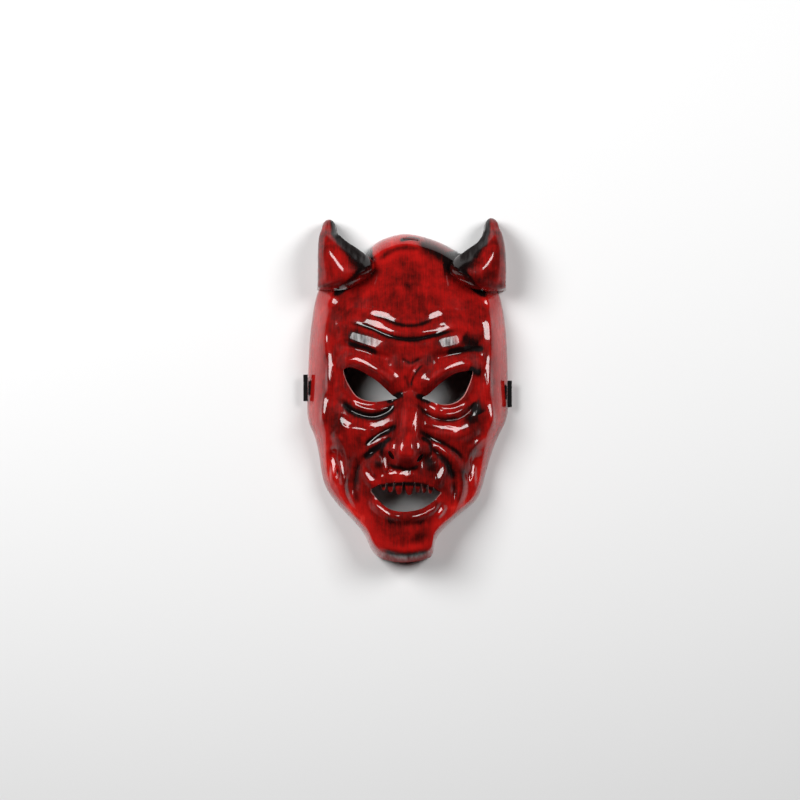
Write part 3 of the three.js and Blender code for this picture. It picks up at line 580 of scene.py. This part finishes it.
def faceSolid(name, cells, depth, floor, least, material):
    # Square grid rounded to a disc; an inset skin is moved in along the cross product of its two tangents
    u, row = np.meshgrid(np.linspace(-1, 1, cells[0] + 1), np.linspace(-1, 1, cells[1] + 1))
    v = row + face["rowBias"] * (row - face["rowMiddle"]) * (row * row - 1)
    a, b = u * np.sqrt(1 - v * v / 2), v * np.sqrt(1 - u * u / 2)
    angle = np.arctan2(b * face["half"][1], a * face["half"][0])
    share = np.where(np.maximum(np.abs(u), np.abs(row)) == 1, 1.0, np.hypot(a, b))
    top = facePoints(angle, share, least)
    if depth > 0:
        step = face["tangentStep"]
        near = np.maximum(share, step * 2)
        outward = facePoints(angle, np.minimum(near + step, 1), least) - facePoints(angle, near - step, least)
        around = facePoints(angle + step, near, least) - facePoints(angle - step, near, least)
        normal = np.cross(outward, around)
        normal[share == 1, 2] = 0
        top = top - depth * unit(normal)
    return gridSolid(name, top, raised(top[..., :2], floor), material)


# Horns: half-round forms over a spine, open behind, one with the sheet
horns = {
    "draft": 0.06, "keen": 0.5, "keenShare": 0.3, "arcShare": 0.62, "rowEase": 0.7, "caps": (12.0, 6.0),
    "leastCap": 0.06, "leastFoot": 0.4, "leastHalf": 0.3, "outerCells": (48, 64), "innerCells": (30, 40),
    "steps": 4,
    # spine in plan from the brow to the tip, half width at the rim, height of the crest, its shift leftwards
    "left": [(-48.5, 87.5, 24, 54.5, -3), (-52, 98, 27.5, 57.8, -1.5), (-57, 108.3, 22.3, 56.2, 0.5),
             (-62.6, 119.8, 14.8, 52.6, 2.4), (-66.2, 129.8, 9.4, 45.5, 1.8), (-66.6, 137, 6.4, 36.5, 1),
             (-66.8, 146.4, 5, 22, 0)],
    "right": [(55.5, 86.5, 24, 54.5, 3), (59, 97.5, 27, 57.8, 2), (64.3, 108.4, 21.5, 56.2, -1.6),
              (69.2, 120.2, 14, 52.6, -2.2), (71.2, 130.2, 9.4, 45.5, -1.6), (71, 137.5, 6.5, 36.5, -1),
              (70.6, 147.6, 5, 22, 0)],
}


def hornSolid(name, stations, cells, depth, floor, material):
    # Across: half a circular arc and half a keener hyperbola over the crest, then straight walls out to the
    # foot; along: rounded off at both ends
    run = splineRun(stations, horns["steps"])
    lengths = lengthsAlong(run[:, :2])
    w = np.linspace(-1, 1, cells[1] + 1)
    share = (1 - horns["rowEase"]) * (w + 1) / 2 + horns["rowEase"] * (1 - np.cos((w + 1) * np.pi / 2)) / 2
    t = depth + share * (lengths[-1] - 2 * depth)
    x, y, wide, crest, shift = (np.interp(t, lengths, column) for column in run.T)
    plan = np.stack([x, y], -1)
    ahead = unit(np.gradient(plan, t, axis=0))
    sideways = np.stack([-ahead[:, 1], ahead[:, 0]], -1)
    capPart = lambda left, long: np.sqrt(1 - (1 - np.clip(left / long, 0, 1)) ** 2)
    cap = capPart(t - depth, horns["caps"][0]) * capPart(lengths[-1] - depth - t, horns["caps"][1])
    cap = np.maximum(horns["leastCap"], cap)
    foot = np.maximum(horns["leastFoot"], (wide - depth) * cap)
    full = wide * (1 - horns["draft"]) - depth
    half = np.maximum(horns["leastHalf"], full * cap)
    lean = np.arctan(horns["draft"] * wide / (crest - wide))
    ring = half / np.cos(lean)
    middle = crest - depth - full / np.cos(lean)
    u = np.linspace(-1, 1, cells[0] + 1)[:, None]
    arc = np.clip(u / horns["arcShare"], -1, 1) * (np.pi / 2 - lean)
    down = np.clip((np.abs(u) - horns["arcShare"]) / (1 - horns["arcShare"]), 0, 1)
    out = (ring * np.sin(arc) + shift * cap * np.cos(arc)) * (1 - down) + np.sign(u) * foot * down
    fall = ring * (1 - np.sin(lean))
    blunt = horns["keenShare"] * half
    steep = np.sqrt((fall + blunt) ** 2 - blunt**2) / (ring * np.cos(lean))
    keen = np.sqrt((steep * ring * np.sin(arc)) ** 2 + blunt**2) - blunt
    drop = (1 - horns["keen"]) * ring * (1 - np.cos(arc)) + horns["keen"] * keen
    high = (middle + ring - drop) * (1 - down)
    top = raised(plan + sideways * out[..., None], high)
    bottom = raised(plan + sideways * (u * foot)[..., None], floor)
    return gridSolid(name, top, bottom, material)


# Openings in plan
openings = {
    "eyeLeft": [(-54, 17.5), (-50, 20.5), (-44, 19.6), (-38, 16.8), (-30, 12), (-24, 7.6), (-18, 2),
                (-13, -2.8), (-9, -5.2), (-15, -6.4), (-22, -7.6), (-30, -8.4), (-38.5, -6.4), (-43.6, -3.4),
                (-48, 2.4), (-51.8, 9.6)],
    "eyeRight": [(54, 17.4), (48, 17.4), (38, 14.8), (28.3, 8.2), (22, 2.6), (17, -2), (12, -5), (16, -6.8),
                 (22, -9), (28, -10.6), (33.5, -10.8), (40.7, -8.8), (46.8, -3.7), (51, 4.5), (53.6, 12)],
    "mouthLower": [(27.6, -84.8), (24.5, -88), (20, -92), (15, -95.2), (8, -98), (-2, -99.4), (-11, -98.8),
                   (-18, -96), (-23, -92), (-27.5, -87.6), (-31, -83.6)],
    "mouthUpper": [(-31, -81), (-25, -77.4), (-15, -75.2), (-2, -74.6), (10, -75.6), (20, -78.6),
                   (27.6, -83.4)],
    "steps": 6, "lowerSteps": 5,
    # teeth: x of the middle, width, y of the tip
    "teeth": [(-20.4, 4.2, -81.8), (-14.6, 5.2, -83.4), (-7.6, 6.6, -85.2), (1.1, 7.4, -85.4),
              (8.1, 4.6, -83.8), (13.5, 4, -84), (18.8, 4, -84.6)],
    # a tooth: points round it, powers of its sides and tip, and how far its root goes into the lip
    "toothPoints": 13, "toothSide": 0.7, "toothTip": 2.6, "toothRoot": 0.5,
    # nostrils: x, y, half sizes, turn in degrees
    "nostrils": [(-14, -52.4, 1.6, 4, 34), (10.2, -54.8, 1.6, 4.2, -38)], "nostrilPoints": 24,
    # slots: long and tall sides, height over the rim plane, y of those in the sides and reach of their punch,
    # then middle of the one at the top and its reach
    "slot": (13.0, 4.0), "slotHeight": 12.3, "slotSides": (3.6, 0.0), "sideReach": 14.0,
    "slotTop": (2.4, 133.3, 18.0), "topReach": 18.0,
    # what is trimmed off under the rim plane: middle and size
    "trim": ((0, 0, -15), (400, 400, 30)),
}
punch = {"from": 20.0, "to": 110.0, "reach": 3.0, "normalStep": 1.5}


def punchTool(name, outline, square=True):
    # Ring of the outline carried through the sheet along its normal, then straight up and down
    x, y = outline.T
    if np.sum(x * np.roll(y, -1) - y * np.roll(x, -1)) < 0:
        return punchTool(name, outline[::-1], square)
    h, reach = punch["normalStep"], punch["reach"]
    z = faceHeight(x, y)
    slopeX = (faceHeight(x + h, y) - faceHeight(x - h, y)) / (2 * h)
    slopeY = (faceHeight(x, y + h) - faceHeight(x, y - h)) / (2 * h)
    lean = np.stack([-slopeX, -slopeY], -1) / np.sqrt(1 + slopeX**2 + slopeY**2)[:, None] * reach
    lean = lean if square else lean * 0
    rings = [raised(outline - lean, punch["from"]), raised(outline - lean, z - reach),
             raised(outline + lean, z + reach), raised(outline + lean, punch["to"])]
    return tubeSolid(name, np.stack(rings), cut)


def mouthOutline():
    # Lower lip, then the upper lip with a rounded peg for each tooth
    upper = splineRun(openings["mouthUpper"], openings["steps"])
    edge = lambda x: np.interp(x, upper[:, 0], upper[:, 1])
    pieces = [splineRun(openings["mouthLower"], openings["lowerSteps"]), [openings["mouthUpper"][0]]]
    turn = np.linspace(-1, 1, openings["toothPoints"])
    for x, width, tip in openings["teeth"]:
        root = edge(x) + openings["toothRoot"]
        side = x + np.sign(turn) * width / 2 * np.abs(turn) ** openings["toothSide"]
        down = tip + (root - tip) * np.abs(turn) ** openings["toothTip"]
        pieces.append(np.column_stack([side, np.minimum(down, edge(side))]))
    pieces.append([openings["mouthUpper"][-1]])
    return np.vstack(pieces)


def nostrilOutline(spot):
    # Ellipse turned by an angle
    x, y, halfWide, halfTall, turn = spot
    a = np.radians(turn)
    angle = np.linspace(0, 2 * np.pi, openings["nostrilPoints"], endpoint=False)
    u, v = halfWide * np.cos(angle), halfTall * np.sin(angle)
    return np.column_stack([x + u * np.cos(a) - v * np.sin(a), y + u * np.sin(a) + v * np.cos(a)])


def plainBox(name, middle, size, material):
    # Four corners in plan, above and below the middle
    u, v = np.meshgrid([-0.5, 0.5], [-0.5, 0.5])
    plan = np.stack([middle[0] + u * size[0], middle[1] + v * size[1]], -1)
    half = size[2] / 2
    return gridSolid(name, raised(plan, middle[2] + half), raised(plan, middle[2] - half), material)


def buildMask():
    # Body and hollow are each the face with its two horns, and reach under the rim plane till it is trimmed
    sheet, foot, hollowFoot = face["sheet"], -face["below"], -face["hollowBelow"]
    body = faceSolid("mask", face["outerCells"], 0.0, foot, 0.0, paint)
    hollow = faceSolid("hollow", face["innerCells"], sheet, hollowFoot, face["innerLeast"], bare)
    for side in ("left", "right"):
        carve(body, hornSolid("horn", horns[side], horns["outerCells"], 0.0, foot, paint), "UNION")
        carve(hollow, hornSolid("horn", horns[side], horns["innerCells"], sheet, hollowFoot, bare), "UNION")
    carve(body, hollow, "DIFFERENCE")
    carve(body, plainBox("trim", *openings["trim"], cut), "DIFFERENCE")
    for name in ("eyeLeft", "eyeRight"):
        carve(body, punchTool(name, splineRun(openings[name], openings["steps"], True)), "DIFFERENCE")
    carve(body, punchTool("mouth", mouthOutline()), "DIFFERENCE")
    for spot in openings["nostrils"]:
        carve(body, punchTool("nostril", nostrilOutline(spot), False), "DIFFERENCE")
    long, tall = openings["slot"]
    for side, y in zip((-1, 1), openings["slotSides"]):
        place = (side * face["half"][0], y, openings["slotHeight"])
        carve(body, plainBox("slot", place, (openings["sideReach"], long, tall), bare), "DIFFERENCE")
    carve(body, plainBox("slot", openings["slotTop"], (long, openings["topReach"], tall), bare), "DIFFERENCE")
    return body


mask = buildMask()
print("mask", len(mask.data.vertices), "points")


# Elastic: flat knitted band from slot to slot inside the mask
strap = {
    "width": 22.0, "thick": 1.3, "gathered": 11.5, "gatherStart": 6.0, "gatherLength": 15.0, "foldDeep": 0.5,
    "folds": 2.5, "rib": 0.16, "ribCount": 9, "edge": 0.9, "steps": 260, "acrossPoints": 65, "routeSteps": 24,
    "route": [(-84.7, 3.6, 12.3), (-78, 3.8, 12.1), (-71.5, 8, 8.5), (-65, 18, 4), (-57.5, 32, 1.5),
              (-47, 48, 0.8), (-33.5, 63, 0.75), (-17.5, 73, 0.75), (0, 77, 0.75), (17.5, 73, 0.75),
              (33.5, 62.5, 0.75), (47, 47, 0.8), (57.5, 30.5, 1.5), (65, 16, 4), (71.5, 5, 8.5),
              (78, 0.3, 12.1), (84.4, 0, 12.3)],
}
# Its folded and sewn ends outside the slots: y of the middles, size, valley, rounded corners, stitch rows
sewn = {
    "left": 3.6, "right": -1.5, "proud": 3.8, "tall": 22.6, "deep": 4.2, "touch": 0.3, "square": 0.45,
    "valley": 0.5, "valleyHalf": 0.55, "corner": 0.06, "cornerDrop": 0.55, "swell": 0.06, "swells": 6,
    "pull": 0.06, "around": 48, "rows": 61,
}


def uvFrom(piece, u, v):
    # UV map in millimetres from one value pair per point
    loops = np.zeros(len(piece.data.loops), int)
    piece.data.loops.foreach_get("vertex_index", loops)
    layer = piece.data.uv_layers.new(name="weave")
    layer.data.foreach_set("uv", np.stack([u[loops], v[loops]], -1).astype(np.float32).ravel())


def bandPiece():
    # Section: rounded flat strip whose two faces carry shallow lengthwise grooves, a cosine squared of the
    # place across, carried level along the route and puckered where it is gathered
    line = splineRun(strap["route"], strap["routeSteps"])
    away = lengthsAlong(line)
    t = np.linspace(0, away[-1], strap["steps"])
    line = np.stack([np.interp(t, away, column) for column in line.T], -1)
    ahead = unit(np.gradient(line, axis=0))
    sideways = unit(np.stack([-ahead[:, 1], ahead[:, 0], np.zeros(len(t))], -1))
    upwards = np.cross(ahead, sideways)
    opened = smooth((np.minimum(t, t[-1] - t) - strap["gatherStart"]) / strap["gatherLength"])
    width = strap["gathered"] + (strap["width"] - strap["gathered"]) * opened
    v = np.linspace(-1, 1, strap["acrossPoints"])
    v = np.concatenate([v, v[::-1]])
    side = np.repeat([1.0, -1.0], len(v) // 2)
    edge = np.clip((1 - np.abs(v)) * strap["width"] / 2 / strap["edge"], 0, 1)
    grooves = strap["rib"] * np.cos(v * np.pi * strap["ribCount"]) ** 2
    high = side * (strap["thick"] / 2 * np.sqrt(1 - (1 - edge) ** 2) - grooves * edge)
    fold = (1 - opened)[:, None] * strap["foldDeep"] * np.sin(v * np.pi * strap["folds"])
    rings = (line[:, None, :] + sideways[:, None, :] * (width[:, None] / 2 * v)[..., None]
             + upwards[:, None, :] * (high + fold)[..., None])
    piece = tubeSolid("elastic", rings, knitted)
    uvFrom(piece, np.repeat(t, len(v)), np.tile(v * strap["width"] / 2, len(t)))
    return piece, line + boxShift, t[-1]


def sewnEnd(name, side, y):
    # Section: the band folded flat on itself, a rounded block with a valley between its two layers, standing
    # out of the slot; along its height it bulges between the stitch rows
    turn = np.linspace(0, 2 * np.pi, sewn["around"], endpoint=False)
    square = lambda a: np.sign(a) * np.abs(a) ** sewn["square"]
    out = (square(np.cos(turn)) + 1) / 2 * sewn["proud"]
    deep = square(np.sin(turn)) * sewn["deep"] / 2
    valley = sewn["valley"] * np.exp(-((deep / sewn["valleyHalf"]) ** 2)) * (out > sewn["proud"] / 2)
    s = np.linspace(-1, 1, sewn["rows"])[:, None]
    corner = np.clip((np.abs(s) - 1) / sewn["corner"] + 1, 0, 1)
    swell = 1 - sewn["swell"] * np.cos(s * np.pi * sewn["swells"])
    swell = swell * np.sqrt(1 - sewn["cornerDrop"] * corner**2)
    x = np.clip(out * (1 - sewn["pull"] * (1 - swell)) - valley, 0, sewn["proud"])
    start = strap["route"][0 if side < 0 else -1]
    along = np.repeat(s * sewn["tall"] / 2, len(turn), 1)
    rings = np.stack([start[0] + side * (sewn["touch"] + x), y + side * along,
                      openings["slotHeight"] + deep * swell], -1)
    piece = tubeSolid(name, rings, knitted)
    uvFrom(piece, along.ravel(), np.tile(deep + out, len(s)))
    return piece


elastic, elasticLine, elasticLength = bandPiece()
endLeft = sewnEnd("sewn_end_left", -1, sewn["left"])
endRight = sewnEnd("sewn_end_right", 1, sewn["right"])
print("elastic", round(elasticLength), "mm long")


# Paint: the dark wash that was brushed into the furrows, with painted shade under the nose and behind the
# upper lip; points of each stroke, darkness and reach
washAndShadeStrokes = {
    "furrow 1": ([(-34, 65), (-21, 61.5), (-9, 56.5), (2, 55), (13, 57), (25, 62.5)], 0.6, 1.6),
    "furrow 2": (lines["brow furrow 2"][0], 0.95, 1.6),
    "over plate L": ([(-52, 41.5), (-42, 38.5), (-33, 36), (-24, 31)], 0.85, 1.9),
    "over plate R": ([(66, 36), (52, 36.5), (42, 34.5), (30, 32)], 1.0, 2.6),
    "frown": ([(-6, 29), (-2, 26), (2.5, 24), (7, 26), (11, 29)], 0.4, 1.3),
    "between brows L": ([(-3, 15), (-0.8, 9), (1, 2)], 0.35, 0.9),
    "between brows R": ([(14, 24), (7, 17), (3.4, 9), (2.4, 2)], 0.5, 1.1),
    "inner corner L": ([(-18, -9), (-9, -3.5), (-3, -1.5)], 0.9, 2.2),
    "inner corner R": ([(20, -9), (12, -5), (6, -2)], 0.9, 2.0),
    "bag groove L": ([(-58, -5), (-49, -14), (-39, -19), (-28, -20.5), (-17, -16.5), (-9, -8)], 1.0, 2.8),
    "bag groove R": (lines["bag grooveR"][0][:6], 0.45, 1.8),
    "outside eye R": ([(50, 20), (56, 17), (62, 16)], 0.8, 2.6),
    "patch R": ([(53, -9), (57, -14), (60, -20)], 0.9, 5.0),
    "fold 1 L": ([(-8, -27), (-18, -33), (-27, -37.8), (-37, -45)], 0.9, 1.8),
    "fold 2 L": ([(-17, -42), (-24, -45.5), (-31, -50.5), (-38, -56)], 0.95, 2.6),
    "fold 2 L low": ([(-40, -58), (-43, -67), (-45, -82), (-42, -96)], 0.32, 3.2),
    "fold 1 R": ([(8, -30), (18, -38), (30, -43), (42, -51), (47, -58)], 0.7, 1.9),
    "fold 2 R": ([(16, -44), (22, -48.5), (30, -56), (36, -66), (39, -76)], 0.65, 2.8),
    "fold 2 R low": ([(38, -72), (40, -84), (36, -97)], 0.35, 3.0),
    "wing L": ([(-12, -37), (-20, -42.5), (-22, -50), (-20, -57)], 0.7, 1.8),
    "wing R": ([(9, -37), (17.5, -41.5), (19, -49), (17, -56)], 0.7, 1.8),
    # painted shadow under the tip of the nose
    "under the nose": ([(-18, -59), (-12, -62), (-6, -63), (-1, -64.5), (4, -63.5), (11, -61)], 0.65, 1.8),
    "under the lip": ([(-22, -104), (-12, -108), (-3, -109.5), (9, -108), (17, -104)], 0.35, 3.0),
    # painted shade along the upper lip's edge, over the roots of the teeth
    "mouth edge": ([(-32, -82), (-23, -78.6), (-12, -77), (0, -76.4), (12, -77.8), (28, -84)], 0.85, 1.5),
    "jaw L": ([(-50, -70), (-51, -84), (-46, -96)], 0.25, 3.0),
    "jaw R": ([(46, -62), (46, -80), (40, -96)], 0.35, 3.0),
    "chin": ([(-24, -131), (-12, -135), (0, -136), (12, -134), (20, -130)], 0.45, 3.0),
    "over the spare slot": ([(-8, 128), (2.4, 130.4), (12, 128.6)], 0.9, 1.6),
    "horn base L": ([(-36, 116), (-38, 106), (-45, 95), (-57, 85.5), (-66, 80)], 0.95, 2.4),
    "horn base R": ([(44, 113), (46, 102), (54, 90), (62, 83.5), (69, 80)], 0.95, 2.4),
    "horn L": ([(-60, 84), (-68, 104), (-71, 122), (-69, 146)], 0.34, 14.0),
    "horn R": ([(62, 84), (71, 104), (74, 122), (73, 146)], 0.35, 14.0),
    "by horn R": ([(4, 127), (18, 122), (31, 115), (41, 105), (48, 95)], 0.55, 8.0),
    "by horn L": ([(-30, 118), (-34, 106), (-42, 94)], 0.45, 5.0),
    "crown": ([(-28, 108), (-14, 119), (0, 122), (14, 119), (28, 112)], 0.35, 3.0),
    "temple R": ([(44, 46), (52, 42), (60, 38)], 0.6, 7.0),
    "temple L": ([(-62, 74), (-58, 66), (-54, 56)], 0.1, 6.0),
}
# and patches of it: middle, half sizes, darkness, any turn in degrees
washAndShadePatches = {
    "pit": ((0.5, 89), (3.5, 3), 0.4),
    # painted: darker under the forehead plates, so that the reflection on them looks grey
    "plate L": ((-40, 44.4), (10, 6), 0.75, -18),
    "plate R": ((33, 41.4), (7, 6), 0.5, 10),
    "muzzle R": ((18, -57), (5, 9), 0.5, 15),
    "muzzle L": ((-22, -53), (6, 4), 0.4, 30),
    "brow blotch": ((16, 27), (8, 5), 0.2, 20),
    # painted shade over the teeth, which sit behind the upper lip
    "teeth": ((0, -83), (24, 4), 0.3),
    "cheek blotch R": ((52, -22), (8, 6), 0.45),
    "cheek blotch L": ((-58, -26), (6, 8), 0.35),
    "upper left": ((-30, 100), (8, 7), 0.35),
    "muzzle blotch": ((-24, -60), (5, 6), 0.4),
    "chin blotch": ((10, -122), (10, 7), 0.3),
    "chin": ((-2, -117), (22, 14), 0.14),
}
brushEnds = 0.2   # share of a stroke over which each end fades
# inner side of a horn: steps of its spine, part of the plan, shares of the half width and of the length
hornWash = {"steps": 6, "above": 88.0, "beyond": 30.0, "start": 0.15, "span": 0.5, "wide": 1.3, "foot": 0.02,
            "footSpan": 0.2}
# painted light: how far the wash is taken off down the side wall, so that the wall is painted a paler red
wallPaintedLight = {"share": -0.55, "from": 0.8, "to": 0.92}   # shares of the way out to the rim
# steep places: share of the coat that is missing, heights of the normal and shares of the way out to the rim
steepThin = {"most": 0.92, "from": 0.8, "to": 0.68, "rim": (0.74, 0.84)}
# where the clear coat is thin: points, share of the coat that is missing and reach
thinStrokes = {
    "dorsum L": ([(-2.2, -2), (-2.8, -14), (-3.6, -27), (-4.8, -39)], 1.3, 2.2),
    "horn inside L": ([(-60, 139), (-57, 131), (-50, 123), (-42, 116), (-36, 107)], 0.97, 4.8),
    "horn inside R": ([(65, 141), (63, 133), (57, 124), (49, 117), (42, 109)], 0.97, 4.8),
    "brow endL": ([(-24, 18.2), (-17.5, 14), (-11.5, 10.2)], 3.0, 1.5),
    "brow endR": ([(20.5, 11.6), (25, 15.8), (29, 19)], 3.0, 1.5),
    "under cheek barR": ([(15, -30.4), (24, -32.6), (34, -34.8), (46, -36.6)], 4.0, 1.4),
    "chin wall": ([(-28, -136), (-14, -141), (-2, -142), (10, -140.5), (24, -135)], 0.97, 6.0),
}
thinPatches = {
    "plate L": ((-37, 44), (14, 8), 0.42, -18),
    "plate R": ((35.2, 41.8), (11, 8), 0.42, 10),
    "nasion": ((1.5, 0), (6, 5), 1.3),
    "muzzle L": ((-25.5, -56), (5, 6), 1.3),
    "cheek bar end L": ((-13, -21), (5, 3.4), 1.3),
    "by the furrow": ((7.6, 21), (3.2, 4.4), 1.6),
    "muzzle R": ((17.5, -58.5), (6, 7), 1.3),
    "brow end R": ((17, 26.5), (6, 5), 1.3),
    "brow end L": ((-14, 26), (5, 5), 1.3),
    "over the temple L": ((-38, 74), (7, 5), 1.2),
    "over the temple R": ((40, 74), (8, 5), 1.1),
    "bag end L": ((-56, -14.5), (5, 4.2), 1.3),
    "furrow 3 end L": ((-55.5, 37), (4.4, 3), 3.0),
    "furrow 3 end R": ((61, 36), (5, 3), 3.0),
    "horn tip L": ((-66.5, 140), (7, 8), 0.9),
    "horn tip R": ((71, 140), (7, 8), 0.9),
    "horn base L": ((-61, 92.5), (13, 4.2), 1.0, 18),
    "horn base R": ((67, 91.5), (13, 4.2), 1.0, -14),
    "bag end R": ((57, -13.5), (4, 4), 1.2),
    "horn foot L": ((-48.5, 101.8), (3.4, 2.8), 3.0),
    "horn foot R": ((55, 101.2), (4, 2.8), 3.0),
    "frown": ((1, 24), (7, 3), 1.0),
    "temple L": ((-61, 62), (5, 9), 1.1),
}


def brushed(points, strokes, patches):
    # The darkest of all strokes' and patches' bells at each point
    x, y = points[:, 0], points[:, 1]
    most = np.zeros(len(x))
    for line, dark, reach in strokes.values():
        most = np.maximum(most, lineHeight(x, y, line, dark, reach, ends=brushEnds))
    for form in patches.values():
        most = np.maximum(most, roundHeight(x, y, *form))
    return most


def rimShare(points):
    # Distance from the middle of the face in plan as a share of the rim's
    angle, radius = polar(points[:, :2] - face["centre"])
    return radius / rimRadius(angle)


def sideOf(stations, points, inner):
    # How far a point lies to the inner side of a horn's spine, as a share of the half width there, and its
    # share along the spine
    run = splineRun(stations, hornWash["steps"])
    apart = points[:, None, :2] - run[None, :, :2]
    nearest = (apart**2).sum(-1).argmin(1)
    ahead = unit(np.gradient(run[:, :2], axis=0)[nearest])
    gap = apart[np.arange(len(points)), nearest]
    across = (ahead[:, 0] * gap[:, 1] - ahead[:, 1] * gap[:, 0]) / run[nearest, 2] * inner
    return across, nearest / len(run)


def paintMask():
    # Painted light: the wash is taken off and the red made paler down the side wall. The wash is darkened
    # inside the horns, and the coat is thin on steep places of the face
    count = len(mask.data.vertices)
    points, normals = np.zeros(count * 3), np.zeros(count * 3)
    mask.data.vertices.foreach_get("co", points)
    mask.data.vertex_normals.foreach_get("vector", normals)
    points = points.reshape(-1, 3) / perMetre - boxShift
    washShadeAndLight = brushed(points, washAndShadeStrokes, washAndShadePatches)
    share = rimShare(points)
    lower = (share - wallPaintedLight["from"]) / (wallPaintedLight["to"] - wallPaintedLight["from"])
    # painted light: a paler red down the side wall, except where the wash is dark
    washShadeAndLight += wallPaintedLight["share"] * smooth(lower) * (1 - np.clip(washShadeAndLight * 2, 0, 1))
    steep = (steepThin["from"] - normals.reshape(-1, 3)[:, 2]) / (steepThin["from"] - steepThin["to"])
    inside = (steepThin["rim"][1] - share) / (steepThin["rim"][1] - steepThin["rim"][0])
    thin = steepThin["most"] * smooth(steep) * smooth(inside)
    thin = np.minimum(np.maximum(thin, brushed(points, thinStrokes, thinPatches)), 1)
    for side, inner in (("left", -1), ("right", 1)):
        near = (points[:, 1] > hornWash["above"]) & (points[:, 0] * inner > hornWash["beyond"])
        across, along = sideOf(horns[side], points[near], inner)
        on = (np.abs(across) < hornWash["wide"]) & (along > hornWash["foot"])
        dark = smooth((across - hornWash["start"]) / hornWash["span"]) * on
        dark = dark * smooth((along - hornWash["foot"]) / hornWash["footSpan"])
        washShadeAndLight[near] = np.maximum(washShadeAndLight[near], dark)
    for name, values in (("washShadeAndLight", washShadeAndLight), ("thinCoat", thin)):
        layer = mask.data.attributes.new(name, "FLOAT", "POINT")
        layer.data.foreach_set("value", values.astype(np.float32))


paintMask()
for piece in (mask, elastic, endLeft, endRight):
    piece.data.shade_smooth()
mask.data.set_sharp_from_angle(angle=np.radians(face["sharpAngle"]))
print("mask materials", [m.name for m in mask.data.materials])

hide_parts("mask_shell")
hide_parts("elastic_strap")
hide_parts("strap_end_left")
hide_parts("strap_end_right")
for piece, finish in ((mask, "painted_sheet"), (elastic, "knitted_elastic"), (endLeft, "knitted_elastic"),
                      (endRight, "knitted_elastic")):
    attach(piece, "root")


# Floor, light and surroundings, in metres
studio = {
    "floor": "d2d2d2", "floorRough": 0.7, "floorReach": 6.0, "floorLevel": -0.0002, "strength": 1.0,
    "room": [(0.0, "868686"), (0.03, "303030"), (0.25, "1a1a1a"), (0.5, "0e0e0e")],
}
softboxes = {
    "left": {"toward": (-0.5, 0.31, 0.81), "away": 1.6, "size": (0.64, 0.86), "power": 29},
    "right": {"toward": (0.5, 0.31, 0.81), "away": 1.6, "size": (0.5, 0.7), "power": 18.5},
}


def layFloor():
    reach, level = studio["floorReach"], studio["floorLevel"]
    corners = [(x * reach, y * reach, level) for x, y in ((-1, -1), (1, -1), (1, 1), (-1, 1))]
    mesh = bpy.data.meshes.new("floor")
    mesh.from_pydata(corners, [], [(0, 1, 2, 3)])
    floor = addObject("floor", mesh)
    material, tree, shader = startMaterial("pale paper floor")
    setSockets(tree, shader, {"Base Color": linear(studio["floor"]), "Roughness": studio["floorRough"]})
    mesh.materials.append(material)


def lightUp():
    # Two softboxes over the top corners of the picture, and a room that is grey low down and dark overhead
    for name, box in softboxes.items():
        data = bpy.data.lights.new("softbox " + name, "AREA")
        data.shape = "RECTANGLE"
        data.size, data.size_y = box["size"]
        data.energy = box["power"]
        lamp = addObject("softbox " + name, data)
        aim = Vector(box["toward"]).normalized()
        lamp.location = aim * box["away"]
        lamp.rotation_euler = aim.to_track_quat("Z", "Y").to_euler()
    world = bpy.data.worlds.new("white room, dark overhead")
    world.use_nodes = True
    tree = world.node_tree
    around = addNode(tree, "TexCoord", output="Generated")
    height = addNode(tree, "SeparateXYZ", links={"Vector": around}, output="Z")
    ramp = addNode(tree, "ValToRGB", links={"Fac": height})
    rampStops(ramp, studio["room"])
    setSockets(tree, tree.nodes["Background"], {"Strength": studio["strength"]}, {"Color": ramp})
    bpy.context.scene.world = world
    bpy.context.scene.view_settings.view_transform = "Standard"


layFloor()
lightUp()
print("studio ready")
